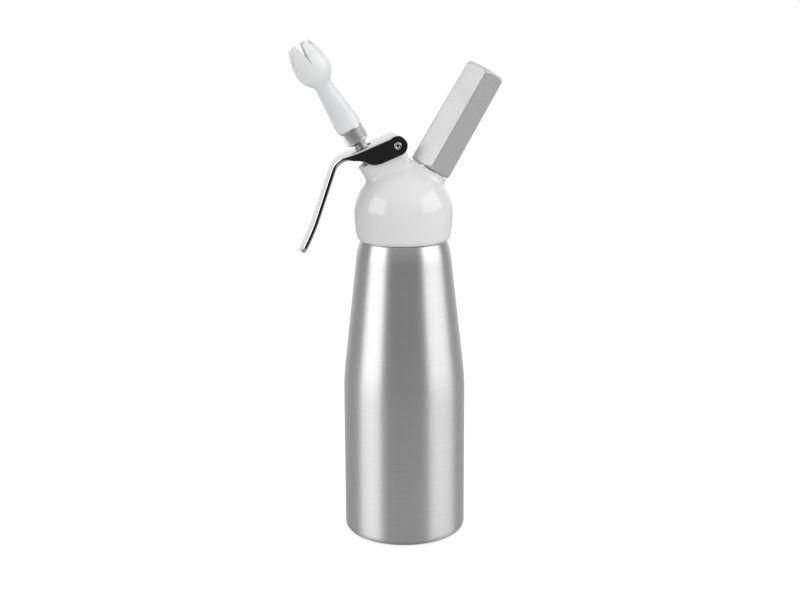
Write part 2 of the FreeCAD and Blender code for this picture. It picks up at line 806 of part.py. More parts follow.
def arc_past(start, corner, end):
    """The arc between two points whose end tangents meet at the corner."""
    chord_middle = (start + end) / 2
    half = (end - start).Length / 2
    toward = corner - chord_middle
    bulge = half * math.tan(math.atan2(toward.Length, half) / 2)
    return Part.Arc(start, chord_middle + toward.normalize() * bulge, end).toShape()


def make_spring():
    """The valve spring: one wire round the stem, shorter than its room by the spring gaps."""
    wire_radius = size.spring_wire.number / 2
    mean = (size.stem_radius.number + size.valve_bore.number) / 2
    rise = spring_top.number - spring_bottom.number - wire_radius * 2
    turns = size.spring_turns.number
    quarters = int(turns * 4)
    slope = rise / (turns * 2 * math.pi)
    spots = []
    for quarter in range(quarters + 1):
        angle = quarter * math.pi / 2
        spot = FreeCAD.Vector(mean * math.cos(angle), mean * math.sin(angle), slope * angle)
        run = FreeCAD.Vector(-mean * math.sin(angle), mean * math.cos(angle), slope)
        spots.append((spot, run.normalize()))
    edges = []
    for (start, start_run), (end, end_run) in zip(spots, spots[1:]):
        edges.extend(arc_pair(start, start_run, end, end_run))
    section = Part.Wire(Part.makeCircle(wire_radius, spots[0][0], spots[0][1]))
    coil = Part.Wire(edges).makePipeShell([section], True, False)
    spring = doc.addObject("Part::Feature", "valve_spring")
    spring.Shape = coil
    on_valve_axis(spring)
    shift_along(spring, spring_bottom + size.spring_wire / 2)
    spring.Label = "valve_spring"
    print("valve spring: least gap between turns %.2f mm" % (rise / turns - 2 * wire_radius))
    return spring


def make_adaptor():
    spigot_top = adaptor_top + size.spigot_length
    bevel = size.adaptor_chamfer
    hole = size.stem_radius
    return lathe(
        "nozzle_adaptor",
        [
            (hole, size.adaptor_bottom),
            (size.adaptor_radius - bevel, size.adaptor_bottom),
            (size.adaptor_radius, size.adaptor_bottom + bevel),
            (size.adaptor_radius, adaptor_top),
            (size.spigot_radius, adaptor_top),
            (size.spigot_radius, spigot_top),
            (size.stem_bore, spigot_top),
            (size.stem_bore, size.stem_top),
            (hole, size.stem_top),
        ],
        on_valve_axis,
    )


# Nozzle: a moulded tulip tip that screws on the adaptor
nozzle_bottom = adaptor_top + size.joint_gap
nozzle_seal_bottom = adaptor_top + size.spigot_length + size.joint_gap
nozzle_seal_top = nozzle_seal_bottom + size.nozzle_seal_height
nozzle_top = nozzle_bottom + size.nozzle_length


def make_nozzle():
    wall = size.nozzle_wall
    neck = nozzle_bottom + size.neck_rise
    bulb = nozzle_bottom + size.bulb_rise
    bore = size.spigot_radius + size.thread_clearance
    floor = nozzle_seal_top + size.joint_gap
    low_curve = size.nozzle_bulb * 0.9
    high_curve = size.nozzle_bulb * 2.4
    flared = [
        (bore, nozzle_bottom),
        (size.nozzle_base, nozzle_bottom),
        (size.nozzle_neck, neck),
        Arc(size.nozzle_bulb, bulb, low_curve * 1.35, 1),
        Arc(size.nozzle_mouth, nozzle_top, high_curve, 1),
        (size.nozzle_mouth - wall, nozzle_top),
        Arc(size.nozzle_bulb - wall, bulb, high_curve - wall, -1),
        Arc(size.nozzle_neck - wall, neck, low_curve * 1.35 - wall, -1),
        (size.nozzle_neck - wall, floor),
        (bore, floor),
    ]
    blank = lathe("nozzle_blank", flared, on_valve_axis)
    tools = [notch_tool(index) for index in range(int(size.petal_count.number))]
    nozzle = cut("nozzle_cut", blank, joined("nozzle_notches", tools))
    nozzle.Label = "nozzle"
    return nozzle


def notch_tool(index):
    """A wedge that opens the V between two petals, turned to its place round the axis."""
    half = size.notch_width.number / 2
    low = (nozzle_top - size.notch_depth).number
    high = nozzle_top.number + 2
    reach = size.nozzle_bulb.number * 2
    spread = half * (high - low) / size.notch_depth.number
    first_notch = -92
    step = 360 / size.petal_count.number
    turn = FreeCAD.Rotation(FreeCAD.Vector(0, 0, 1), first_notch + step * index)
    corners = [(0, -spread, high), (0, 0, low), (0, spread, high), (0, -spread, high)]
    face = Part.Face(Part.makePolygon([turn.multVec(FreeCAD.Vector(*spot)) for spot in corners]))
    wedge = face.extrude(turn.multVec(FreeCAD.Vector(reach, 0, 0)))
    tool = doc.addObject("Part::Feature", "notch_%d" % (index + 1))
    tool.Shape = wedge
    on_valve_axis(tool)
    return tool


# Charger side, on the charger axis
holder_bottom = size.boss_top + size.holder_gap
holder_top = holder_bottom + size.holder_length
charger_top = holder_top - size.holder_roof - size.charger_gap
charger_tip = charger_top - size.charger_length
washer_bottom = charger_tip - size.charger_gap - size.washer_thickness
needle_bottom = washer_bottom - size.needle_flange
stub_top = holder_bottom + size.stub_length
neck_guide = size.charger_neck + size.neck_guide_gap
passage = size.needle_bore * 3
check_bore = size.check_radius + size.running_gap * 8
check_seat = needle_bottom - size.check_seat
plug_top = check_seat - size.check_thickness - size.check_travel


def make_charger_inlet():
    """The metal stub: holder thread outside, guide for the charger's neck inside."""
    mouth = size.stub_radius - size.stub_bevel
    root = size.stub_root_radius
    return lathe(
        "charger_inlet",
        [
            (check_bore, size.stub_root),
            (root, size.stub_root),
            (root, size.boss_top),
            (size.stub_radius + 1.4, size.boss_top),
            (size.stub_radius + 1.4, size.boss_top + size.holder_gap / 2),
            (size.stub_radius, size.boss_top + size.holder_gap / 2),
            (size.stub_radius, stub_top),
            (mouth, stub_top),
            (neck_guide, stub_top - size.stub_length / 3),
            (neck_guide, needle_bottom),
            (passage, needle_bottom),
            (passage, check_seat),
            (check_bore, check_seat),
        ],
        on_charger_axis,
    )


def make_needle():
    top = charger_tip + size.needle_reach
    return lathe(
        "piercing_needle",
        [
            (size.needle_bore, needle_bottom),
            (neck_guide, needle_bottom),
            (neck_guide, washer_bottom),
            (size.needle_radius, washer_bottom),
            (size.needle_radius, top - size.needle_point),
            (size.needle_bore, top),
        ],
        on_charger_axis,
    )


def make_check_disc():
    bottom = plug_top + size.running_gap
    top = bottom + size.check_thickness
    return lathe(
        "check_disc",
        [(0, bottom), (size.check_radius, bottom), (size.check_radius, top), (0, top)],
        on_charger_axis,
    )


def make_check_retainer():
    """The screwed plug that the one-way disc rests on."""
    bottom = size.stub_root - size.retainer_height
    hole = size.check_radius / 2
    plug = check_bore - size.running_gap
    return lathe(
        "check_retainer",
        [
            (hole, bottom),
            (size.retainer_radius - size.running_gap, bottom),
            (size.retainer_radius - size.running_gap, size.stub_root),
            (plug, size.stub_root),
            (plug, plug_top),
            (hole, plug_top),
        ],
        on_charger_axis,
    )


def make_charger():
    neck_end = charger_tip + size.charger_neck_length
    wall = size.charger_wall
    body = size.charger_radius
    crown = charger_top - body
    mouth = size.needle_radius + 0.7
    cap_top = charger_tip + size.cap_thickness
    shoulder = neck_end + (body - size.charger_neck)
    return lathe(
        "gas_charger",
        [
            (mouth, cap_top),
            (size.charger_neck, cap_top),
            (size.charger_neck, neck_end),
            Arc(body, shoulder, body - size.charger_neck, -1),
            (body, crown),
            Arc(0, charger_top, body, 1),
            (0, charger_top - wall),
            Arc(body - wall, crown, body - wall, -1),
            (body - wall, shoulder + wall),
            (mouth, neck_end),
        ],
        on_charger_axis,
    )


def make_holder():
    """The hexagonal sleeve: a slightly tapered hexagon, bevelled on the lathe and bored."""
    body = new_body("holder_hexagon")
    corner_radius = size.holder_flats_low / 2 / Size(math.cos(math.radians(30)), "cos(30)")
    corners = []
    for index in range(6):
        angle = size.holder_turn + 60 * index
        corners.append((corner_radius * cosine(angle), corner_radius * sine(angle)))
    sketch = outline_sketch(body, "holder_section", corners, "XY_Plane")
    prism = body.newObject("PartDesign::Pad", "holder_prism")
    prism.Profile = sketch
    bind(prism, "Length", size.holder_length)
    lean = (size.holder_flats_low - size.holder_flats_high) / 2 / size.holder_length
    bind(prism, "TaperAngle", -lean * (180 / math.pi))
    on_charger_axis(body)
    shift_along(body, holder_bottom)
    bevel = size.holder_bevel
    low = size.holder_flats_low / 2
    high = size.holder_flats_high / 2
    envelope = lathe(
        "holder_envelope",
        [
            (0, holder_bottom),
            (low - bevel / 2, holder_bottom),
            (low + bevel * 1.4, holder_bottom + bevel * 1.6),
            (high + bevel * 1.4, holder_top - bevel * 1.6),
            (high - bevel / 2, holder_top),
            (0, holder_top),
        ],
        on_charger_axis,
    )
    sleeve = doc.addObject("Part::Common", "holder_outside")
    sleeve.Base = body
    sleeve.Tool = envelope
    bore = size.charger_radius + size.charger_gap
    thread = size.stub_radius + size.thread_clearance
    room = stub_top + size.thread_clearance
    roof = charger_top + size.charger_gap
    hollow = lathe(
        "holder_hollow",
        [
            (0, holder_bottom - 5),
            (thread, holder_bottom - 5),
            (thread, room),
            (bore, room + (thread - bore)),
            (bore, roof - bore),
            Arc(0, roof, bore, 1),
        ],
        on_charger_axis,
    )
    holder = cut("charger_holder_cut", sleeve, hollow)
    holder.Label = "charger_holder"
    return holder


parts = [
    make_bottle(),
    tube(
        "head_gasket",
        size.neck_bore,
        size.neck_radius,
        neck_top + size.gasket_gap,
        neck_top + size.gasket_gap + size.gasket_thickness,
    ),
    make_head_shell(),
    make_bushing(),
    ring_seal("stem_ring_seal", stem_hole, size.ring_wire, size.ring_groove, on_valve_axis),
    make_lever_pin(),
    make_spring(),
    make_stem(),
    tube("seat_seal", size.stem_radius, size.poppet_radius, seal_bottom, seal_top, on_valve_axis),
    tube(
        "stem_collar",
        size.stem_radius,
        size.collar_radius,
        collar_bottom,
        size.collar_top,
        on_valve_axis,
    ),
    make_adaptor(),
    tube(
        "nozzle_seal",
        size.stem_bore,
        size.spigot_radius,
        nozzle_seal_bottom,
        nozzle_seal_top,
        on_valve_axis,
    ),
    make_nozzle(),
    make_lever(),
    make_charger_inlet(),
    make_needle(),
    tube(
        "charger_washer",
        size.needle_radius,
        neck_guide,
        washer_bottom,
        washer_bottom + size.washer_thickness,
        on_charger_axis,
    ),
    make_check_disc(),
    make_check_retainer(),
    make_charger(),
    tube(
        "charger_seal",
        size.needle_radius + size.running_gap,
        size.charger_neck,
        charger_tip,
        charger_tip + size.cap_thickness,
        on_charger_axis,
    ),
    make_holder(),
]

doc.recompute()
for item in doc.Objects:
    if "Invalid" in item.State or "Error" in item.State:
        raise RuntimeError("failed: %s %s" % (item.Label, item.State))
os.makedirs("parts", exist_ok=True)
for item in parts:
    shape = item.Shape
    if shape.isNull() or not shape.isValid() or shape.Volume < 1:
        raise RuntimeError("bad shape: " + item.Label)
    shape.exportStep(os.path.join("parts", item.Label + ".step"))
    box = shape.BoundBox
    print("%-16s solids %d volume %.1f box %s" % (item.Label, len(shape.Solids), shape.Volume, box))
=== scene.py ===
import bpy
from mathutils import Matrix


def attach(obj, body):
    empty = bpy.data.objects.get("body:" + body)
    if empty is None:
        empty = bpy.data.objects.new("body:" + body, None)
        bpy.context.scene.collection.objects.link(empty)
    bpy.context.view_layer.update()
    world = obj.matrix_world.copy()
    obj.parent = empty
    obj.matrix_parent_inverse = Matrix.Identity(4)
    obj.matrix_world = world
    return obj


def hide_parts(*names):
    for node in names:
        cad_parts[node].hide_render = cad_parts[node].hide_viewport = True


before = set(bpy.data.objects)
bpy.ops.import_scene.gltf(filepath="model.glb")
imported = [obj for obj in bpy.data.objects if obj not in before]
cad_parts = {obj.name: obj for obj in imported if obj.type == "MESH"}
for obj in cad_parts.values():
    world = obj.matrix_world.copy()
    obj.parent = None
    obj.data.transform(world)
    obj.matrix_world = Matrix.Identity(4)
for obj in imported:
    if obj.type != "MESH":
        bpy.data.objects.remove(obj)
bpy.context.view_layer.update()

import math

import bmesh
import bpy
import numpy as np
from bpy.props import FloatProperty, FloatVectorProperty, IntProperty, PointerProperty
from mathutils import Matrix, Vector

bl_info = {
    "name": "Cream dispenser dressing",
    "version": (1, 0, 0),
    "blender": (4, 5, 0),
    "location": "3D View > Sidebar > Dispenser",
    "description": "Dresses the packed cream dispenser and sets up its studio",
    "category": "Object",
}

# Axes of the two horns, in millimetres and degrees, as the frame has them
DOME_HEIGHT = 214.0
VALVE_TILT = -31.5
CHARGER_TILT = 31.0
UPRIGHT = (0.0, 0.0)
VALVE = (VALVE_TILT, DOME_HEIGHT)
CHARGER = (CHARGER_TILT, DOME_HEIGHT)
LEVER_PIN = (-5.981, 259.359)
LEVER_LEAN = 21.5
VIEW_BEARING = -13


# Shapes worked out as whole arrays

def seated(points, place):
    """Turns points about +Y by the place's tilt, lifts them to its height and gives metres."""
    tilt, height = place
    lean = math.radians(tilt)
    across, side, along = points[..., 0], points[..., 1], points[..., 2]
    east = across * math.cos(lean) + along * math.sin(lean)
    up = height - across * math.sin(lean) + along * math.cos(lean)
    return np.stack([east, side, up], axis=-1) * 0.001


def arc(start, end, radius, side, count):
    """Points of a circle of the radius from start to end, its centre to the left if side is 1."""
    start, end = np.array(start, float), np.array(end, float)
    chord = end - start
    length = np.hypot(*chord)
    left = np.array([-chord[1], chord[0]]) / length
    inset = math.sqrt(max(radius * radius - length * length / 4, 0.0))
    centre = (start + end) / 2 + side * inset * left
    first = math.atan2(*(start - centre)[::-1])
    sweep = 2 * math.asin(min(length / 2 / radius, 1.0)) * side
    angles = first + sweep * np.linspace(0, 1, count)
    return centre + radius * np.stack([np.cos(angles), np.sin(angles)], axis=-1)


def run(start, end, count):
    """Evenly spaced points of a straight line."""
    share = np.linspace(0, 1, count)[:, None]
    return np.array(start, float) * (1 - share) + np.array(end, float) * share


def profile(*pieces):
    """Joins runs and arcs into one line, and drops points that repeat."""
    line = np.concatenate([np.atleast_2d(np.array(piece, float)) for piece in pieces])
    keep = np.ones(len(line), bool)
    keep[1:] = np.hypot(*(line[1:] - line[:-1]).T) > 1e-6
    return line[keep]


def rounded_sections(corners, radius, steps=5):
    """Closed sections whose corners are curves: each corner is cut back along both of its sides by
    its radius, at most 0.45 of the side, and crossed by a quadratic curve tangent to both."""
    before = np.roll(corners, 1, axis=1) - corners
    after = np.roll(corners, -1, axis=1) - corners
    near = np.maximum(np.linalg.norm(before, axis=2, keepdims=True), 1e-9)
    far = np.maximum(np.linalg.norm(after, axis=2, keepdims=True), 1e-9)
    cut = np.minimum(radius[..., None], np.minimum(near, far) * 0.45)
    first = corners + before / near * cut
    last = corners + after / far * cut
    share = np.linspace(0, 1, steps)[None, None, :, None]
    curve = (
        first[:, :, None] * (1 - share) ** 2
        + corners[:, :, None] * 2 * share * (1 - share)
        + last[:, :, None] * share**2
    )
    return curve.reshape(len(corners), -1, 2)


def turned(line, columns):
    """A surface of revolution: each point (radius, height) of the line at evenly spaced angles."""
    angle = np.arange(columns) * 2 * math.pi / columns
    radius = np.broadcast_to(line[:, 0:1], (len(line), columns))
    height = np.broadcast_to(line[:, 1:2], (len(line), columns))
    return radius, height, np.broadcast_to(angle, (len(line), columns))


def round_points(radius, height, angle):
    """Points at a radius and an angle round the axis, and at a height along it."""
    return np.stack([radius * np.cos(angle), radius * np.sin(angle), height], axis=-1)


def smooth_step(value, low, high):
    share = np.clip((value - low) / (high - low), 0, 1)
    return share * share * (3 - 2 * share)


def skin(name, points, loop_rows=False, sharp=35.0):
    """Makes a mesh of a grid of points whose columns close round, with its faces outwards."""
    rows, columns = points.shape[:2]
    last = rows if loop_rows else rows - 1
    row, column = np.meshgrid(np.arange(last), np.arange(columns), indexing="ij")
    next_row, next_column = (row + 1) % rows, (column + 1) % columns
    corners = [
        row * columns + column,
        row * columns + next_column,
        next_row * columns + next_column,
        next_row * columns + column,
    ]
    faces = np.stack(corners, axis=-1).reshape(-1, 4)
    return mesh_of(name, points.reshape(-1, 3), faces, sharp)


def mesh_of(name, points, faces, sharp):
    """Puts points and four-sided faces into a mesh, merges poles and smooths all but sharp edges."""
    mesh = bpy.data.meshes.new(name)
    mesh.vertices.add(len(points))
    mesh.vertices.foreach_set("co", np.ascontiguousarray(points, np.float32).ravel())
    mesh.loops.add(faces.size)
    mesh.loops.foreach_set("vertex_index", faces.astype(np.int32).ravel())
    mesh.polygons.add(len(faces))
    mesh.polygons.foreach_set("loop_start", np.arange(0, faces.size, 4, dtype=np.int32))
    mesh.update(calc_edges=True)
    tidy = bmesh.new()
    tidy.from_mesh(mesh)
    bmesh.ops.remove_doubles(tidy, verts=tidy.verts, dist=2e-6)
    tidy.to_mesh(mesh)
    tidy.free()
    mesh.validate()
    mesh.polygons.foreach_set("use_smooth", np.ones(len(mesh.polygons), bool))
    mesh.set_sharp_from_angle(angle=math.radians(sharp))
    piece = bpy.data.objects.new(name, mesh)
    bpy.context.scene.collection.objects.link(piece)
    return piece


def cut_out(piece, tool):
    """Takes the tool's space out of the piece and removes the tool."""
    cutter = piece.modifiers.new("cut", "BOOLEAN")
    cutter.object = tool
    cutter.solver = "EXACT"
    bpy.context.view_layer.update()
    graph = bpy.context.evaluated_depsgraph_get()
    shaped = bpy.data.meshes.new_from_object(piece.evaluated_get(graph))
    piece.modifiers.clear()
    piece.data = shaped
    bpy.data.objects.remove(tool)
    shaped.polygons.foreach_set("use_smooth", np.ones(len(shaped.polygons), bool))
    shaped.set_sharp_from_angle(angle=math.radians(40))


def merged(name, pieces):
    """Joins closed pieces into one object."""
    whole = bmesh.new()
    for piece in pieces:
        whole.from_mesh(piece.data)
        bpy.data.objects.remove(piece)
    mesh = bpy.data.meshes.new(name)
    whole.to_mesh(mesh)
    whole.free()
    mesh.polygons.foreach_set("use_smooth", np.ones(len(mesh.polygons), bool))
    mesh.set_sharp_from_angle(angle=math.radians(40))
    piece = bpy.data.objects.new(name, mesh)
    bpy.context.scene.collection.objects.link(piece)
    return piece


def seat(piece, body, node, material):
    """Lets a piece stand for a frame node and ride on its body."""
    piece.data.materials.clear()
    piece.data.materials.append(material)
    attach(piece, body)
    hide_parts(node)


def coat(node, material):
    """Gives a frame node a better material."""
    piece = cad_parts[node]
    for slot in piece.material_slots:
        slot.material = material


# Finishes

class Finish:
    """A procedural material on Object coordinates, built node by node."""

    def __init__(self, name, **values):
        self.material = bpy.data.materials.get(name) or bpy.data.materials.new(name)
        self.material.use_nodes = True
        self.nodes = self.material.node_tree.nodes
        self.links = self.material.node_tree.links
        self.shader = self.nodes["Principled BSDF"]
        for socket, value in values.items():
            self.shader.inputs[socket.replace("_", " ")].default_value = value
        self.place = self.nodes.new("ShaderNodeTexCoord").outputs["Object"]

    def mapped(self, scale, tilt=0.0, lift=0.0):
        """Object coordinates turned back by a tilt about +Y, lowered by a lift and stretched."""
        shift = self.nodes.new("ShaderNodeVectorMath")
        shift.inputs[1].default_value = (0, 0, lift)
        shift.operation = "SUBTRACT"
        self.links.new(self.place, shift.inputs[0])
        turn = self.nodes.new("ShaderNodeVectorRotate")
        turn.rotation_type = "Y_AXIS"
        turn.inputs["Angle"].default_value = -math.radians(tilt)
        self.links.new(shift.outputs["Vector"], turn.inputs["Vector"])
        size = self.nodes.new("ShaderNodeVectorMath")
        size.operation = "MULTIPLY"
        size.inputs[1].default_value = scale
        self.links.new(turn.outputs["Vector"], size.inputs[0])
        return size.outputs["Vector"]

    def noise(self, scale, detail=3.0, tilt=0.0, lift=0.0, rough=0.5):
        texture = self.nodes.new("ShaderNodeTexNoise")
        texture.inputs["Scale"].default_value = 1.0
        texture.inputs["Detail"].default_value = detail
        texture.inputs["Roughness"].default_value = rough
        self.links.new(self.mapped(scale, tilt, lift), texture.inputs["Vector"])
        return texture.outputs["Fac"]

    def ranged(self, value, low, high, start=0.3, end=0.7):
        span = self.nodes.new("ShaderNodeMapRange")
        span.inputs["From Min"].default_value = start
        span.inputs["From Max"].default_value = end
        span.inputs["To Min"].default_value = low
        span.inputs["To Max"].default_value = high
        self.links.new(value, span.inputs["Value"])
        return span.outputs["Result"]

    def blend(self, value, first, second):
        mix = self.nodes.new("ShaderNodeMix")
        mix.data_type = "RGBA"
        mix.inputs["A"].default_value = (*first, 1)
        mix.inputs["B"].default_value = (*second, 1)
        self.links.new(value, mix.inputs["Factor"])
        return mix.outputs["Result"]

    def relief(self, value, strength, depth):
        bump = self.nodes.new("ShaderNodeBump")
        bump.inputs["Strength"].default_value = strength
        bump.inputs["Distance"].default_value = depth * 0.001
        self.links.new(value, bump.inputs["Height"])
        self.links.new(bump.outputs["Normal"], self.shader.inputs["Normal"])

    def to(self, value, socket):
        self.links.new(value, self.shader.inputs[socket])


def shades(colour, spread):
    """A darker and a lighter neighbour of a colour."""
    dark = tuple(max(c * (1 - spread), 0) for c in colour)
    light = tuple(min(c * (1 + spread), 1) for c in colour)
    return dark, light


def turned_metal(name, colour, rough, place, fine=2600.0, depth=0.01):
    """Metal with fine turning lines round an axis: noise that changes fast along the axis only."""
    tilt, lift = place[0], place[1] * 0.001
    finish = Finish(name, Metallic=1.0)
    lines = finish.noise((18, 18, fine), 4.0, tilt, lift, 0.65)
    cloud = finish.noise((35, 35, 35), 2.0, tilt, lift)
    finish.to(finish.blend(finish.ranged(lines, 0, 1), *shades(colour, 0.07)), "Base Color")
    finish.to(finish.ranged(cloud, rough * 0.85, rough * 1.2), "Roughness")
    finish.relief(lines, 0.25, depth)
    return finish


def plain_steel(name, colour, rough):
    finish = Finish(name, Metallic=1.0)
    cloud = finish.noise((300, 300, 300), 4.0)
    finish.to(finish.blend(finish.ranged(cloud, 0, 1), *shades(colour, 0.05)), "Base Color")
    finish.to(finish.ranged(cloud, rough * 0.8, rough * 1.25), "Roughness")
    finish.relief(cloud, 0.15, 0.02)
    return finish.material


def bottle_finish(look):
    """Brushed aluminium: hair lines round the bottle, streaks of tone, and highlights that the
    lines draw out along the bottle."""
    finish = Finish("bottle_brushed_aluminium", Metallic=1.0, Anisotropic=0.9,
                    Anisotropic_Rotation=0.25)
    hairs = finish.noise((14, 14, 3600), 6.0, rough=0.75)
    streaks = finish.noise((5, 5, 900), 5.0, rough=0.7)
    cloud = finish.noise((22, 22, 10), 2.0)
    both = finish.nodes.new("ShaderNodeMath")
    both.operation = "MULTIPLY_ADD"
    both.inputs[1].default_value = 0.6
    finish.links.new(hairs, both.inputs[0])
    finish.links.new(finish.ranged(streaks, 0.0, 0.4, 0.0, 1.0), both.inputs[2])
    tone = finish.ranged(both.outputs["Value"], 0, 1, 0.25, 0.75)
    finish.to(finish.blend(tone, *shades(tuple(look.aluminium), 0.08)), "Base Color")
    finish.to(finish.ranged(cloud, 0.38, 0.44, 0.1, 0.9), "Roughness")
    finish.relief(both.outputs["Value"], 0.06, 0.01)
    round_axis = finish.nodes.new("ShaderNodeTangent")
    round_axis.direction_type = "RADIAL"
    round_axis.axis = "Z"
    finish.to(round_axis.outputs["Tangent"], "Tangent")
    return finish.material


def moulded_plastic(name, colour, rough, milky):
    """Glossy moulded plastic with a faint orange peel, slight tone drift and light inside it."""
    finish = Finish(name, IOR=1.49, Subsurface_Weight=milky, Subsurface_Scale=0.004)
    finish.shader.inputs["Subsurface Radius"].default_value = (1.0, 0.95, 0.85)
    peel = finish.noise((420, 420, 420), 2.0)
    drift = finish.noise((28, 28, 28), 2.0)
    finish.to(finish.blend(finish.ranged(drift, 0, 1), *shades(colour, 0.012)), "Base Color")
    finish.to(finish.ranged(drift, rough * 0.85, rough * 1.2), "Roughness")
    finish.relief(peel, 0.05, 0.02)
    return finish.material


def chrome_finish(look):
    """Polished plating with faint wiping marks and a softer gloss where fingers rub."""
    finish = Finish("lever_polished_chrome", Metallic=1.0)
    marks = finish.noise((60, 900, 60), 5.0, -21.5, 0.25)
    smears = finish.noise((70, 70, 70), 3.0)
    finish.to(finish.blend(finish.ranged(smears, 0, 1), *shades(tuple(look.chrome), 0.03)),
              "Base Color")
    finish.to(finish.ranged(smears, 0.035, 0.09), "Roughness")
    finish.relief(marks, 0.03, 0.01)
    return finish.material


def blasted_metal(look):
    """Bead blasted aluminium: a dense even grain in tone, gloss and relief."""
    finish = Finish("holder_blasted_aluminium", Metallic=0.6)
    grain = finish.noise((2300, 2300, 2300), 5.0, rough=0.8)
    drift = finish.noise((40, 40, 40), 2.0)
    finish.to(finish.blend(finish.ranged(grain, 0, 1), *shades(tuple(look.blasted), 0.16)),
              "Base Color")
    finish.to(finish.ranged(drift, 0.42, 0.5), "Roughness")
    finish.relief(grain, 0.5, 0.035)
    return finish.material


def rubber_finish(look):
    finish = Finish("seal_rubber", Roughness=0.6)
    grain = finish.noise((1500, 1500, 1500), 3.0)
    finish.to(finish.blend(finish.ranged(grain, 0, 1), *shades(tuple(look.rubber), 0.3)),
              "Base Color")
    finish.relief(grain, 0.2, 0.02)
    return finish.material


# Settings that a user would change

class DispenserSizes(bpy.types.PropertyGroup):
    neck_pitch: FloatProperty(name="Neck pitch", default=0.003, unit="LENGTH",
                              description="Rise of the neck thread in one turn")
    neck_depth: FloatProperty(name="Neck thread depth", default=0.0011, unit="LENGTH",
                              description="Height of the neck thread's ridge")
    stem_pitch: FloatProperty(name="Stem pitch", default=0.001, unit="LENGTH",
                              description="Rise of the fine thread on the valve stem")
    stem_depth: FloatProperty(name="Stem thread depth", default=0.00045, unit="LENGTH",
                              description="Depth of the fine thread on the valve stem")
    knurl_count: IntProperty(name="Knurl ridges", default=54, min=12, max=120,
                             description="Ridges of the adaptor's knurl in one direction")
    knurl_depth: FloatProperty(name="Knurl depth", default=0.00032, unit="LENGTH",
                               description="Depth of the adaptor's knurl")
    edge_rounding: FloatProperty(name="Edge rounding", default=0.0004, unit="LENGTH",
                                 description="Rounding of the lever's sheet edges")
    sheet_bend: FloatProperty(name="Sheet bend", default=0.0016, unit="LENGTH",
                              description="Bend between the lever's top and its cheeks")
    handle_edge: FloatProperty(name="Handle edge", default=0.0011, unit="LENGTH",
                               description="Rounding along the lever's handle")
    hexagon_edge: FloatProperty(name="Holder edge", default=0.0007, unit="LENGTH",
                                description="Rounding of the holder's long edges")


class DispenserColours(bpy.types.PropertyGroup):
    aluminium: FloatVectorProperty(name="Brushed aluminium", subtype="COLOR", min=0, max=1,
                                   default=(0.79, 0.79, 0.79), description="Bottle")
    white: FloatVectorProperty(name="White plastic", subtype="COLOR", min=0, max=1,
                               default=(0.84, 0.84, 0.84), description="Head")
    milky: FloatVectorProperty(name="Milky plastic", subtype="COLOR", min=0, max=1,
                               default=(0.97, 0.97, 0.965), description="Nozzle")
    chrome: FloatVectorProperty(name="Chrome", subtype="COLOR", min=0, max=1,
                                default=(0.70, 0.70, 0.71), description="Lever and its pin")
    blasted: FloatVectorProperty(name="Blasted metal", subtype="COLOR", min=0, max=1,
                                 default=(0.62, 0.62, 0.62), description="Charger holder")
    steel: FloatVectorProperty(name="Steel", subtype="COLOR", min=0, max=1,
                               default=(0.72, 0.72, 0.72), description="Valve, adaptor and charger")
    rubber: FloatVectorProperty(name="Rubber", subtype="COLOR", min=0, max=1,
                                default=(0.05, 0.05, 0.05), description="Seals")


class StudioSettings(bpy.types.PropertyGroup):
    box_level: FloatProperty(name="Soft boxes", default=3.4, min=0, description="Their brightness")
    side_level: FloatProperty(name="Sides", default=0.30, min=0,
                              description="Brightness that metal sees beside the soft boxes")
    front_level: FloatProperty(name="Front", default=0.02, min=0,
                               description="Brightness that metal sees behind the camera")
    fill_level: FloatProperty(name="Fill", default=0.76, min=0,
                              description="Even light on matt surfaces")
    key_power: FloatProperty(name="Key lamp", default=4.0, min=0, unit="POWER",
                             description="Power of the soft lamp above")
    floor_reach: FloatProperty(name="Floor edge", default=0.485, unit="LENGTH",
                               description="Floor in front of the bottle")


# Operators, one for each group of pieces

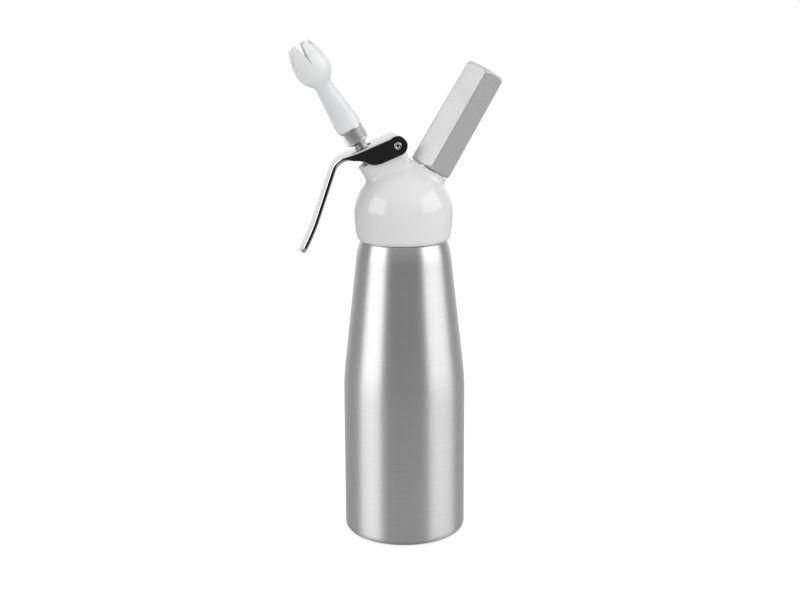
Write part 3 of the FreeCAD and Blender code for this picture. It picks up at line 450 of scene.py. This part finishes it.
class DISPENSER_OT_bottle(bpy.types.Operator):
    """Brushed bottle with its threaded neck"""

    bl_idname = "dispenser.bottle"
    bl_label = "Bottle"

    def execute(self, context):
        sizes, look = context.scene.dispenser_sizes, context.scene.dispenser_colours
        neck_rows = run((24, 197), (24, 211.4), 124)
        line = profile(
            [(0, 4)], run((6, 4), (26.4, 4), 6), arc((26.4, 4), (28.2, 3.4), 3, -1, 5),
            run((28.2, 3.4), (32.4, 0.7), 4), arc((32.4, 0.7), (35, 0), 4.4, 1, 6),
            arc((35, 0), (40, 5), 5, 1, 14), run((40, 5), (40, 95), 18),
            arc((40, 95), (38.86, 115), 176, 1, 22), run((38.86, 115), (31.2, 183), 14),
            arc((31.2, 183), (28.6, 196.0), 55, 1, 16), arc((28.6, 196.0), (27.5, 197), 1.1, 1, 6),
            neck_rows, arc((24, 211.4), (22.4, 213), 1.6, 1, 6),
            arc((22.4, 213), (20.8, 212.2), 0.9, 1, 6),
            run((20.8, 212), (20.8, 195.5), 6), arc((20.8, 195.5), (25.6, 191.5), 5, -1, 8),
            run((25.6, 191.5), (29.7, 183), 5), run((29.7, 183), (37.36, 115), 8),
            run((37.36, 115), (38.5, 95), 6), run((38.5, 95), (38.5, 5), 6),
            arc((38.5, 5), (35, 1.5), 3.5, -1, 6), run((35, 1.5), (32.6, 2.3), 3),
            run((32.6, 2.3), (26.4, 5.5), 3), [(0, 5.5)],
        )
        radius, height, angle = turned(line, 320)
        pitch, depth = sizes.neck_pitch * 1000, sizes.neck_depth * 1000
        on_neck = (np.abs(radius - 24) < 0.02) & (height > 198)
        phase = np.mod((height - pitch * angle / (2 * math.pi)) / pitch, 1)
        ridge = np.clip((1 - np.abs(2 * phase - 1) - 0.3) / 0.3, 0, 1)
        fade = smooth_step(height, 198.2, 199.6) * (1 - smooth_step(height, 210.0, 211.2))
        radius = np.where(on_neck, 24 - depth + depth * ridge * fade, radius)
        piece = skin("bottle_skin", seated(round_points(radius, height, angle), UPRIGHT))
        seat(piece, "bottle", "bottle", bottle_finish(look))
        return {"FINISHED"}


class DISPENSER_OT_head(bpy.types.Operator):
    """White head and its flat seal"""

    bl_idname = "dispenser.head"
    bl_label = "Head"

    def execute(self, context):
        look = context.scene.dispenser_colours
        coat("head_shell", moulded_plastic("head_white_plastic", tuple(look.white), 0.11, 0.1))
        coat("head_gasket", rubber_finish(look))
        return {"FINISHED"}


class DISPENSER_OT_lever(bpy.types.Operator):
    """Chromed squeeze lever and the hollow rivet that carries it"""

    bl_idname = "dispenser.lever"
    bl_label = "Lever"

    def execute(self, context):
        sizes, look = context.scene.dispenser_sizes, context.scene.dispenser_colours
        chrome = chrome_finish(look)
        channel = skin("lever_channel", self.placed(self.channel(sizes)))
        cut_out(channel, skin("slot_tool", self.placed(self.slot())))
        eyes = [skin("lever_eye", self.placed(self.eye(side, sizes))) for side in (-1, 1)]
        lever = merged("lever_skin", [channel, *eyes])
        seat(lever, "lever", "lever", chrome)
        rivet = skin("lever_pin_skin", self.placed(self.rivet()), loop_rows=True)
        seat(rivet, "head", "lever_pin", chrome)
        return {"FINISHED"}

    def placed(self, points):
        """Points (along, side, up) about the pin, leaned to the lever's rest angle, in metres."""
        lean = math.radians(LEVER_LEAN)
        along, side, up = points[..., 0], points[..., 1], points[..., 2]
        east = LEVER_PIN[0] + along * math.cos(lean) - up * math.sin(lean)
        high = LEVER_PIN[1] + along * math.sin(lean) + up * math.cos(lean)
        return np.stack([east, side, high], axis=-1) * 0.001

    def channel(self, sizes):
        """Sections square to the lever's outer line. Each is a U of half width, depth and sheet;
        past the cheeks the depth is the sheet's, so the U is a flat bar. The depth follows the
        cheek's lower edge, the width narrows on a smooth step and rounds off at the tip."""
        top, thick, turn, kink = 6.6, 3.0, math.radians(49.2), math.radians(41.5)
        corner = np.array([-40.2, top])
        reach = 14 * math.tan(turn / 2)
        way = np.array([-math.cos(turn), -math.sin(turn)])
        end_way = np.array([-math.cos(kink), -math.sin(kink)])
        bend_end = corner + way * reach
        kink_spot = corner + way * 46.3
        soft = 9.0
        share = np.linspace(0, 1, 18)[:, None]
        first, last = kink_spot - way * soft, kink_spot + end_way * soft
        curl = first * (1 - share) ** 2 + kink_spot * 2 * share * (1 - share) + last * share**2
        back = np.linspace(4.2, 0, 10)[:, None]
        rear = np.concatenate([back, np.sqrt(top**2 - back**2)], axis=1)
        tip = kink_spot + end_way * 15.9
        line = profile(rear, run((0, top), (corner[0] + reach, top), 70),
                       arc((corner[0] + reach, top), bend_end, 14, 1, 26), run(bend_end, first, 26),
                       curl, run(last, tip - end_way * 4, 6), run(tip - end_way * 4, tip, 26))
        step = np.gradient(line, axis=0)
        step /= np.linalg.norm(step, axis=1, keepdims=True)
        step[line[:, 0] > -0.01] = (-1, 0)
        inward = np.stack([-step[:, 1], step[:, 0]], axis=-1)
        gone = np.concatenate([[0], np.cumsum(np.linalg.norm(np.diff(line, axis=0), axis=1))])
        left = gone[-1] - gone
        under = profile(run((0, -top), (-13, -top), 8), arc((-13, -top), (-21.2, -3.9), 14, -1, 12),
                        arc((-21.2, -3.9), (-29, 1.7), 14, 1, 12), [(-33.8, 4.1)])[::-1]
        low = np.interp(line[:, 0], under[:, 0], under[:, 1])
        low = np.where(line[:, 0] > 0, -np.sqrt(np.maximum(top**2 - line[:, 0] ** 2, 0)), low)
        on_bar = smooth_step(-line[:, 0], 29, 36)
        sheet = 1.8 + (thick - 1.8) * on_bar
        depth = np.where(line[:, 0] > -33.8, line[:, 1] - low, thick)
        depth = np.maximum(depth, sheet)
        depth = np.where(gone > np.interp(33.8, -line[:60, 0], gone[:60]) + 8, thick, depth)
        half = 11 - 4.7 * smooth_step(gone, 29.5, 50.0)
        nose = np.clip(1 - left / 4.0, 0, 1)
        half = half - 3.6 * (1 - np.sqrt(np.maximum(1 - nose**2, 0)))
        wall = np.minimum(sheet, half)
        zero = np.zeros_like(half)
        corners = np.stack([
            np.stack([half, depth], -1), np.stack([half, zero], -1), np.stack([-half, zero], -1),
            np.stack([-half, depth], -1), np.stack([wall - half, depth], -1),
            np.stack([wall - half, sheet], -1), np.stack([half - wall, sheet], -1),
            np.stack([half - wall, depth], -1),
        ], axis=1)
        fine, bent = sizes.edge_rounding * 1000, sizes.sheet_bend * 1000
        bar = sizes.handle_edge * 1000
        upper = bent + (bar - bent) * on_bar
        lower = fine + (bar - fine) * on_bar
        inner = fine + 0 * on_bar
        radius = np.stack([lower, upper, upper, lower, inner, inner, inner, inner], axis=1)
        loops = rounded_sections(corners, radius)
        thin = np.clip(1 - left / 1.2, 0, 1)
        squeeze = np.sqrt(np.maximum(1 - thin**2, 0))[:, None]
        squeeze = np.where(left[:, None] < 1.3, squeeze, 1)
        loops[..., 1] = thick / 2 + (loops[..., 1] - thick / 2) * squeeze
        points = line[:, None, :] + inward[:, None, :] * loops[..., 1:2]
        whole = np.stack([points[..., 0], loops[..., 0], points[..., 1]], axis=-1)
        closing = self.pinched(whole[0])
        closed_tip = self.pinched(whole[-1])
        return np.concatenate([closing[None], whole, closed_tip[None]])[::-1]

    def pinched(self, ring):
        """The middle line of a section: each point meets its partner on the other side of the
        sheet, so that a ring of faces from the section to this line closes the end."""
        order = np.arange(len(ring))
        partner = np.roll(order[::-1], 5)
        return (ring + ring[partner]) / 2

    def eye(self, side, sizes):
        """One rounded end of a cheek: a disc about the pin with rounded rims and a round hole,
        as a closed loop of (radius, side) turned about the pin."""
        near, far, edge = 9.2, 11.02, sizes.edge_rounding * 1000
        line = profile([(2.05, near)], run((2.05, near), (6.58 - edge, near), 3),
                       arc((6.58 - edge, near), (6.58, near + edge), edge, 1, 4),
                       arc((6.58, far - edge), (6.58 - edge, far), edge, 1, 4),
                       run((6.58 - edge, far), (2.05, far), 3), [(2.05, near)])
        angle = np.arange(96) * 2 * math.pi / 96
        radius = line[:, 0:1] * np.ones_like(angle)
        depth = line[:, 1:2] * np.ones_like(angle) * side
        points = np.stack([radius * np.cos(angle), depth, radius * np.sin(angle)], axis=-1)
        return points[::-1] if side > 0 else points

    def slot(self):
        """A tall rod of slot-shaped section: two half circles joined by straight sides."""
        angle = np.arange(64) * 2 * math.pi / 64
        across = 4.5 * np.cos(angle) + np.sign(np.cos(angle)) * 1.0 - 19.2
        side = 4.5 * np.sin(angle)
        centre = np.zeros((64, 2)) + (-19.2, 0)
        rim = np.stack([across, side], axis=-1)
        flat = [centre, rim, rim, centre]
        height = [2.0, 2.0, 9.0, 9.0]
        return np.stack([
            np.concatenate([ring, np.full((64, 1), level)], axis=1) for ring, level in zip(flat, height)
        ])

    def rivet(self):
        """A hollow rivet turned about Y: a tube whose ends are rolled over in half rounds."""
        line = profile([(0.95, -10)], run((0.95, -10), (0.95, -10.7), 3),
                       arc((0.95, -10.7), (1.6, -11.45), 0.75, 1, 6),
                       arc((1.6, -11.48), (2.3, -11.15), 0.5, 1, 7), [(2.0, -11.05), (2.0, 0)])
        mirror = line[::-1] * (1, -1)
        line = profile(line, mirror[1:])
        angle = np.arange(64) * 2 * math.pi / 64
        radius = line[:, 0:1] * np.ones_like(angle)
        side = line[:, 1:2] * np.ones_like(angle)
        points = np.stack([radius * np.cos(angle), side, radius * np.sin(angle)], axis=-1)
        return points[::-1]


class DISPENSER_OT_valve(bpy.types.Operator):
    """Guide bushing, threaded stem, collar, spring and the valve's seals"""

    bl_idname = "dispenser.valve"
    bl_label = "Valve"

    def execute(self, context):
        sizes, look = context.scene.dispenser_sizes, context.scene.dispenser_colours
        steel = turned_metal("valve_turned_steel", tuple(look.steel), 0.28, VALVE).material
        for node in ("guide_bushing", "stem_collar"):
            coat(node, steel)
        for node in ("stem_ring_seal", "seat_seal"):
            coat(node, rubber_finish(look))
        line = profile(
            run((0, 3.4), (5.6, 3.4), 4), arc((5.6, 3.4), (6, 3.8), 0.4, 1, 4),
            run((6, 3.8), (6, 6.4), 3), run((6, 6.4), (4, 6.4), 3), run((4, 6.4), (4, 49.2), 30),
            run((4, 49.2), (4, 62.2), 131), arc((4, 62.2), (3.2, 63), 0.8, 1, 4),
            run((3.2, 63), (2.2, 63), 3), run((2.2, 63), (2.2, 7.4), 6), [(0, 7.4)],
        )
        radius, height, angle = turned(line, 72)
        pitch, depth = sizes.stem_pitch * 1000, sizes.stem_depth * 1000
        threaded = (radius > 3.99) & (height > 49)
        phase = np.mod((height - pitch * angle / (2 * math.pi)) / pitch, 1)
        groove = np.abs(2 * phase - 1) * smooth_step(height, 49.2, 50.0)
        radius = np.where(threaded, radius - depth * groove, radius)
        stem = skin("valve_stem_skin", seated(round_points(radius, height, angle), VALVE))
        seat(stem, "stem", "valve_stem", steel)
        spring = skin("valve_spring_skin", self.coil(), sharp=60)
        seat(spring, "head", "valve_spring",
             plain_steel("spring_bright_steel", tuple(look.steel), 0.2))
        return {"FINISHED"}

    def coil(self):
        """A round wire along a helix: the middle line is at the mean radius and rises evenly, and
        each ring of the wire stands square to it; the last rings shrink to close the ends."""
        turns, wire, mean, low, high = 5, 0.45, 5.0, 30.3, 45.95
        rise = high - low - 2 * wire
        count = turns * 64
        share = np.concatenate([[0, 0, 0], np.linspace(0, 1, count), [1, 1, 1]])
        angle = share * turns * 2 * math.pi
        middle = np.stack([mean * np.cos(angle), mean * np.sin(angle), low + wire + rise * share], -1)
        slope = rise / (turns * 2 * math.pi)
        tangent = np.stack([-mean * np.sin(angle), mean * np.cos(angle), np.full_like(angle, slope)], -1)
        tangent /= np.linalg.norm(tangent, axis=1, keepdims=True)
        outward = np.stack([np.cos(angle), np.sin(angle), np.zeros_like(angle)], -1)
        upward = np.cross(outward, tangent)
        bead = np.full(len(share), wire)
        bead[[0, -1]] = 0.0
        bead[[1, -2]] = wire * 0.8
        bead[[2, -3]] = wire
        turn = np.arange(14) * 2 * math.pi / 14
        across = outward[:, None] * np.cos(turn)[None, :, None]
        ring = across + upward[:, None] * np.sin(turn)[None, :, None]
        return seated(middle[:, None] + ring * bead[:, None, None], VALVE)


class DISPENSER_OT_nozzle(bpy.types.Operator):
    """Knurled adaptor and the milky nozzle with its petals"""

    bl_idname = "dispenser.nozzle"
    bl_label = "Nozzle"

    def execute(self, context):
        sizes, look = context.scene.dispenser_sizes, context.scene.dispenser_colours
        self.adaptor(sizes, look)
        self.tulip(look)
        coat("nozzle_seal", rubber_finish(look))
        return {"FINISHED"}

    def adaptor(self, sizes, look):
        """A turned sleeve whose outside is cut by two sets of helical grooves: the relief is the
        lower of two triangle waves, one leaning each way, and it fades out at both rims."""
        line = profile(
            arc((5.6, 55.7), (6.0, 55.5), 0.5, 1, 3), run((6.0, 55.5), (7.6, 57.1), 8),
            run((7.6, 57.1), (7.6, 66.0), 75), arc((7.6, 66.0), (7.2, 66.4), 0.4, 1, 4),
            run((7.2, 66.4), (6.2, 66.4), 3), run((6.2, 66.4), (6.2, 72.9), 60),
            arc((6.2, 72.9), (5.7, 73.4), 0.5, 1, 3), run((5.7, 73.4), (2.2, 73.4), 3),
            run((2.2, 73.4), (2.2, 63), 3), run((2.2, 63), (4.0, 63), 3),
            run((4.0, 63), (4.0, 56.0), 3), run((4.0, 56.0), (4.4, 55.6), 3),
        )
        radius, height, angle = turned(line, sizes.knurl_count * 8)
        lead = 7.6 * 2 * math.pi / sizes.knurl_count
        around = angle * sizes.knurl_count / (2 * math.pi)
        first = np.abs(np.mod(around + (height - 57) / lead, 1) * 2 - 1)
        second = np.abs(np.mod(around - (height - 57) / lead, 1) * 2 - 1)
        relief = np.minimum(np.clip(first * 1.5, 0, 1), np.clip(second * 1.5, 0, 1))
        fade = smooth_step(height, 57.3, 57.8) * (1 - smooth_step(height, 65.2, 65.7))
        outside = (radius > 7.55) & (height > 57)
        depth = sizes.knurl_depth * 1000
        radius = np.where(outside, radius - depth * (1 - relief) * fade, radius)
        spigot = (np.abs(radius - 6.2) < 0.02) & (height > 66.6)
        phase = np.abs(np.mod((height - 1.5 * angle / (2 * math.pi)) / 1.5, 1) * 2 - 1)
        radius = np.where(spigot, radius - 0.5 * phase, radius)
        piece = skin("nozzle_adaptor_skin", seated(round_points(radius, height, angle), VALVE),
                     loop_rows=True)
        finish = turned_metal("adaptor_plated_metal", tuple(look.steel), 0.27, VALVE)
        seat(piece, "stem", "nozzle_adaptor", finish.material)

    def tulip(self, look):
        """A turned wall that ends in petals. Up the outside, over the rim and down the inside, each
        row is at a share of the way to the top, and the top is lower where a wedge cuts a notch:
        there the wedge's half width equals the wall's radius times the sine of the angle."""
        base, bulb, top = 66.5, 110.3, 127.3
        outer = profile(run((8.5, base), (8.45, 71), 6), run((8.45, 71), (5.7, 96.5), 26),
                        arc((5.7, 96.5), (6.5, 100.2), 6.5, -1, 6),
                        arc((6.5, 100.2), (11.3, bulb), 13.5, 1, 16),
                        arc((11.3, bulb), (7.3, top), 38, 1, 24))
        columns = 360
        angle = np.arange(columns) * 2 * math.pi / columns
        notch = math.radians(-92)
        off = np.abs(np.mod(angle - notch + math.pi / 6, math.pi / 3) - math.pi / 6)
        low, depth, half = top - 13.2, 13.2, 1.9
        heights = np.linspace(low, top + 6, 200)
        wall = np.interp(heights, outer[:, 1], outer[:, 0])
        width = half * (heights - low) / depth
        cut_top = np.interp(np.sin(off), width / wall, heights)
        soft = 1.1
        rim = -soft * np.log(np.exp(-(cut_top - top) / soft) + np.exp(-0.0 / soft)) + top
        rim = np.minimum(rim, top)
        thick = 1.5
        share = np.linspace(0, 1, 90) ** 0.9
        high = rim - thick / 2
        up = base + share[:, None] * (high - base)[None, :]
        out_radius = np.interp(up, outer[:, 1], outer[:, 0])
        lip = np.linspace(0, math.pi, 9)[1:-1]
        lip_middle = np.interp(high, outer[:, 1], outer[:, 0]) - thick / 2
        lip_radius = lip_middle[None, :] + np.cos(lip)[:, None] * thick / 2
        lip_height = high[None, :] + np.sin(lip)[:, None] * thick / 2
        floor = 74.9
        down = floor + (1 - np.linspace(0, 1, 60))[:, None] * (high - floor)[None, :]
        in_radius = np.interp(down, outer[:, 1], outer[:, 0]) - thick
        in_radius = np.maximum(in_radius, 0.5)
        step = np.array([[6.5, floor], [6.5, base]])
        bore_radius = np.broadcast_to(step[:, 0:1], (2, columns))
        bore_height = np.broadcast_to(step[:, 1:2], (2, columns))
        radius = np.concatenate([out_radius, lip_radius, in_radius, bore_radius])
        height = np.concatenate([up, lip_height, down, bore_height])
        angles = np.broadcast_to(angle, radius.shape)
        piece = skin("nozzle_skin", seated(round_points(radius, height, angles), VALVE),
                     loop_rows=True, sharp=50)
        milky = moulded_plastic("nozzle_milky_plastic", tuple(look.milky), 0.22, 0.75)
        seat(piece, "nozzle", "nozzle", milky)


class DISPENSER_OT_charger(bpy.types.Operator):
    """Charger stub, needle, one-way disc, seals and the gas charger"""

    bl_idname = "dispenser.charger"
    bl_label = "Charger"

    def execute(self, context):
        look = context.scene.dispenser_colours
        steel = turned_metal("stub_turned_steel", tuple(look.steel), 0.28, CHARGER).material
        bright = plain_steel("charger_drawn_steel", tuple(look.steel), 0.18)
        for node in ("charger_inlet", "check_retainer"):
            coat(node, steel)
        for node in ("gas_charger", "piercing_needle", "charger_seal"):
            coat(node, bright)
        for node in ("charger_washer", "check_disc"):
            coat(node, rubber_finish(look))
        return {"FINISHED"}


class DISPENSER_OT_holder(bpy.types.Operator):
    """Hexagonal charger holder"""

    bl_idname = "dispenser.holder"
    bl_label = "Holder"

    def execute(self, context):
        """Round the axis the radius is the flat's distance over the cosine of the angle from its
        middle, and a small circle at each corner; a turned bevel caps it near both ends."""
        sizes, look = context.scene.dispenser_sizes, context.scene.dispenser_colours
        low, high = 33.6, 106.2
        columns = 6 * 56
        angle = np.arange(columns) * 2 * math.pi / columns
        turn = math.radians(17)
        off = np.abs(np.mod(angle - turn, math.pi / 3) - math.pi / 6)
        near, far = low + 3.4, high - 3.4
        height = np.concatenate([np.linspace(low, near, 30), np.linspace(near, far, 24)[1:-1],
                                 np.linspace(far, high, 30)])
        flat = np.interp(height, [low, high], [13.4, 12.35])[:, None]
        edge = sizes.hexagon_edge * 1000
        corner = (flat - edge) / math.cos(math.pi / 6)
        from_corner = math.pi / 6 - off[None, :]
        tangent = np.arctan((flat - edge) * math.tan(math.pi / 6) / flat)
        on_flat = flat / np.cos(off[None, :])
        under = np.maximum(edge**2 - (corner * np.sin(from_corner)) ** 2, 0)
        on_corner = corner * np.cos(from_corner) + np.sqrt(under)
        hexagon = np.where(off[None, :] < tangent, on_flat, on_corner)
        rise_low, rise_high = height - low, high - height
        cone = np.minimum(12.55 + rise_low * 1.19, 11.5 + rise_high * 1.19)[:, None]
        soft = 0.16
        radius = -soft * np.logaddexp(-hexagon / soft, -cone / soft)
        inner = profile([(3, high), (0, high)])
        cap_radius = np.broadcast_to(inner[:, 0:1], (2, columns))
        cap_height = np.broadcast_to(inner[:, 1:2], (2, columns))
        bore = profile([(0, 103.2)], arc((0, 103.2), (9.15, 94.05), 9.15, -1, 12)[1:],
                       [(9.15, 47.05), (10.3, 45.9), (10.3, 34.4), (11.0, low)])
        bore_radius = np.broadcast_to(bore[:, 0:1], (len(bore), columns))
        bore_height = np.broadcast_to(bore[:, 1:2], (len(bore), columns))
        heights = np.broadcast_to(height[:, None], radius.shape)
        outside = seated(round_points(np.concatenate([radius, cap_radius]),
                                      np.concatenate([heights, cap_height]), angle[None, :]), CHARGER)
        inside = seated(round_points(bore_radius, bore_height, angle[None, :]), CHARGER)
        points = np.concatenate([inside, outside])
        piece = skin("charger_holder_skin", points, sharp=40)
        seat(piece, "holder", "charger_holder", blasted_metal(look))
        return {"FINISHED"}


class DISPENSER_OT_stage(bpy.types.Operator):
    """Pale floor, soft studio surroundings and the camera"""

    bl_idname = "dispenser.stage"
    bl_label = "Stage"

    def execute(self, context):
        studio = context.scene.dispenser_studio
        context.scene.view_settings.view_transform = "Standard"
        self.camera(context)
        self.floor(context, studio)
        self.surroundings(context, studio)
        self.lamp(context, studio)
        return {"FINISHED"}

    def camera(self, context):
        azimuth = math.radians(VIEW_BEARING)
        pitch, roll = math.radians(12.9), math.radians(0.29)
        aim = azimuth + math.radians(0.164)
        distance = 0.896
        flat = math.cos(pitch)
        back = Vector((math.sin(aim) * flat, -math.cos(aim) * flat, math.sin(pitch)))
        right = Vector((math.cos(aim), math.sin(aim), 0))
        up = back.cross(right)
        turn = Matrix((right, up, back)).transposed().to_4x4()
        data = bpy.data.cameras.new("camera")
        data.lens, data.sensor_width = 63, 36
        data.clip_start, data.clip_end = 0.01, 20
        camera = bpy.data.objects.new("camera", data)
        place = Vector((distance * math.sin(azimuth), -distance * math.cos(azimuth), 0.362))
        camera.matrix_world = Matrix.Translation(place) @ turn @ Matrix.Rotation(-roll, 4, "Z")
        context.scene.collection.objects.link(camera)
        context.scene.camera = camera

    def floor(self, context, studio):
        """A flat sheet whose front edge lies square to the view."""
        azimuth = math.radians(VIEW_BEARING)
        toward = np.array([math.sin(azimuth), -math.cos(azimuth)])
        right = np.array([math.cos(azimuth), math.sin(azimuth)])
        corners = [(-3, -3), (3, -3), (3, studio.floor_reach), (-3, studio.floor_reach)]
        flat = np.array([right * across + toward * ahead for across, ahead in corners])
        points = np.concatenate([flat, np.zeros((4, 1))], axis=1)
        sheet = mesh_of("floor", points, np.array([[3, 2, 1, 0]]), 35)
        finish = Finish("pale_floor", Roughness=0.55)
        grain = finish.noise((200, 200, 200), 3.0)
        pale = finish.blend(finish.ranged(grain, 0, 1), (0.86, 0.86, 0.86), (0.89, 0.89, 0.89))
        tree, links = finish.nodes, finish.links
        # Painted shade: glossy rays see the floor in a darker grey (0.45) than its own pale colour, so
        # metal reflects a shaded floor
        shade = tree.new("ShaderNodeMix")
        shade.data_type = "RGBA"
        shade.inputs["B"].default_value = (0.45, 0.45, 0.45, 1)
        links.new(pale, shade.inputs["A"])
        finish.to(shade.outputs["Result"], "Base Color")
        glow = tree.new("ShaderNodeEmission")
        glow.inputs["Color"].default_value = (1, 1, 1, 1)
        glow.inputs["Strength"].default_value = 1.4
        path = tree.new("ShaderNodeLightPath")
        share = tree.new("ShaderNodeMath")
        share.operation = "MULTIPLY"
        share.inputs[1].default_value = 0.55
        links.new(path.outputs["Is Camera Ray"], share.inputs[0])
        links.new(path.outputs["Is Glossy Ray"], shade.inputs["Factor"])
        mix = tree.new("ShaderNodeMixShader")
        links.new(share.outputs["Value"], mix.inputs["Fac"])
        links.new(finish.shader.outputs["BSDF"], mix.inputs[1])
        links.new(glow.outputs["Emission"], mix.inputs[2])
        links.new(mix.outputs["Shader"], tree["Material Output"].inputs["Surface"])
        sheet.data.materials.append(finish.material)

    def surroundings(self, context, studio):
        """The world. The camera and clear materials see white, matt surfaces an even fill, and
        gloss sees two soft boxes, dim sides, a dark front and a white back, by direction."""
        world = bpy.data.worlds.new("studio")
        context.scene.world = world
        world.use_nodes = True
        nodes, links = world.node_tree.nodes, world.node_tree.links
        nodes.clear()
        way = nodes.new("ShaderNodeTexCoord").outputs["Generated"]
        azimuth = math.radians(VIEW_BEARING)

        def along(direction):
            dot = nodes.new("ShaderNodeVectorMath")
            dot.operation = "DOT_PRODUCT"
            dot.inputs[1].default_value = direction
            links.new(way, dot.inputs[0])
            return dot.outputs["Value"]

        def maths(operation, first, second):
            node = nodes.new("ShaderNodeMath")
            node.operation = operation
            for socket, value in zip(node.inputs, (first, second)):
                if isinstance(value, (int, float)):
                    socket.default_value = value
                else:
                    links.new(value, socket)
            return node.outputs["Value"]

        def ramp(value, start, end):
            node = nodes.new("ShaderNodeMapRange")
            node.interpolation_type = "SMOOTHSTEP"
            node.inputs["From Min"].default_value = start
            node.inputs["From Max"].default_value = end
            links.new(value, node.inputs["Value"])
            return node.outputs["Result"]

        def window(value, start, end, soft):
            rise = ramp(value, start - soft, start + soft)
            fall = ramp(value, end + soft, end - soft)
            return maths("MULTIPLY", rise, fall)

        toward = along((math.sin(azimuth), -math.cos(azimuth), 0))
        right = along((math.cos(azimuth), math.sin(azimuth), 0))
        height = along((0, 0, 1))
        bearing = maths("MULTIPLY", maths("ARCTAN2", right, toward), 180 / math.pi)
        left_box = maths("MULTIPLY", window(bearing, -92, -46, 2.5), window(height, 0.07, 0.577, 0.03))
        right_box = maths("MULTIPLY", window(bearing, 49, 106, 2.5), window(height, 0.13, 0.65, 0.03))
        back_left = ramp(bearing, -128, -150)
        back_right = ramp(bearing, 128, 150)
        front = window(bearing, -40, 46, 6)
        front = maths("MULTIPLY", front, ramp(height, 0.75, 0.15))
        overhead = ramp(height, 0.4, 0.7)
        drop = maths("MULTIPLY", front, studio.front_level - studio.side_level)
        level = maths("ADD", studio.side_level, drop)
        for mask, strength in ((left_box, studio.box_level), (right_box, studio.box_level * 0.86),
                               (back_left, 0.95), (back_right, 0.95), (overhead, 0.9)):
            gain = maths("MULTIPLY", mask, strength)
            level = maths("MAXIMUM", level, gain)
        path = nodes.new("ShaderNodeLightPath")
        clear = maths("MAXIMUM", path.outputs["Is Camera Ray"], path.outputs["Is Transmission Ray"])
        gloss = path.outputs["Is Glossy Ray"]
        matt = maths("MULTIPLY", maths("SUBTRACT", 1, gloss), studio.fill_level)
        seen = maths("ADD", maths("MULTIPLY", level, gloss), matt)
        seen = maths("ADD", maths("MULTIPLY", seen, maths("SUBTRACT", 1, clear)), clear)
        light = nodes.new("ShaderNodeBackground")
        light.inputs["Color"].default_value = (1, 1, 1, 1)
        links.new(seen, light.inputs["Strength"])
        output = nodes.new("ShaderNodeOutputWorld")
        links.new(light.outputs["Background"], output.inputs["Surface"])

    def lamp(self, context, studio):
        data = bpy.data.lights.new("key", "AREA")
        data.shape, data.size, data.size_y = "RECTANGLE", 0.9, 0.9
        data.energy = studio.key_power
        lamp = bpy.data.objects.new("key", data)
        place = Vector((0.65, -0.9, 1.1))
        lamp.location = place
        lamp.rotation_mode = "QUATERNION"
        lamp.rotation_quaternion = (place - Vector((0, 0, 0.15))).to_track_quat("Z", "Y")
        lamp.visible_glossy = False
        context.scene.collection.objects.link(lamp)


class DISPENSER_PT_panel(bpy.types.Panel):
    bl_label = "Dispenser"
    bl_space_type = "VIEW_3D"
    bl_region_type = "UI"
    bl_category = "Dispenser"

    def draw(self, context):
        for step in STEPS:
            self.layout.operator(step.bl_idname)
        for group in ("dispenser_sizes", "dispenser_colours", "dispenser_studio"):
            settings = getattr(context.scene, group)
            box = self.layout.box()
            for name in settings.bl_rna.properties.keys():
                if name not in ("rna_type", "name"):
                    box.prop(settings, name)


STEPS = (
    DISPENSER_OT_bottle,
    DISPENSER_OT_head,
    DISPENSER_OT_lever,
    DISPENSER_OT_valve,
    DISPENSER_OT_nozzle,
    DISPENSER_OT_charger,
    DISPENSER_OT_holder,
    DISPENSER_OT_stage,
)
GROUPS = (DispenserSizes, DispenserColours, StudioSettings)


def register():
    for kind in (*GROUPS, *STEPS, DISPENSER_PT_panel):
        bpy.utils.register_class(kind)
    bpy.types.Scene.dispenser_sizes = PointerProperty(type=DispenserSizes)
    bpy.types.Scene.dispenser_colours = PointerProperty(type=DispenserColours)
    bpy.types.Scene.dispenser_studio = PointerProperty(type=StudioSettings)


def unregister():
    del bpy.types.Scene.dispenser_sizes
    del bpy.types.Scene.dispenser_colours
    del bpy.types.Scene.dispenser_studio
    for kind in reversed((*GROUPS, *STEPS, DISPENSER_PT_panel)):
        bpy.utils.unregister_class(kind)


def main():
    register()
    bpy.ops.dispenser.bottle()
    bpy.ops.dispenser.head()
    bpy.ops.dispenser.lever()
    bpy.ops.dispenser.valve()
    bpy.ops.dispenser.nozzle()
    bpy.ops.dispenser.charger()
    bpy.ops.dispenser.holder()
    bpy.ops.dispenser.stage()
    bpy.context.view_layer.update()


if __name__ == "__main__":
    main()
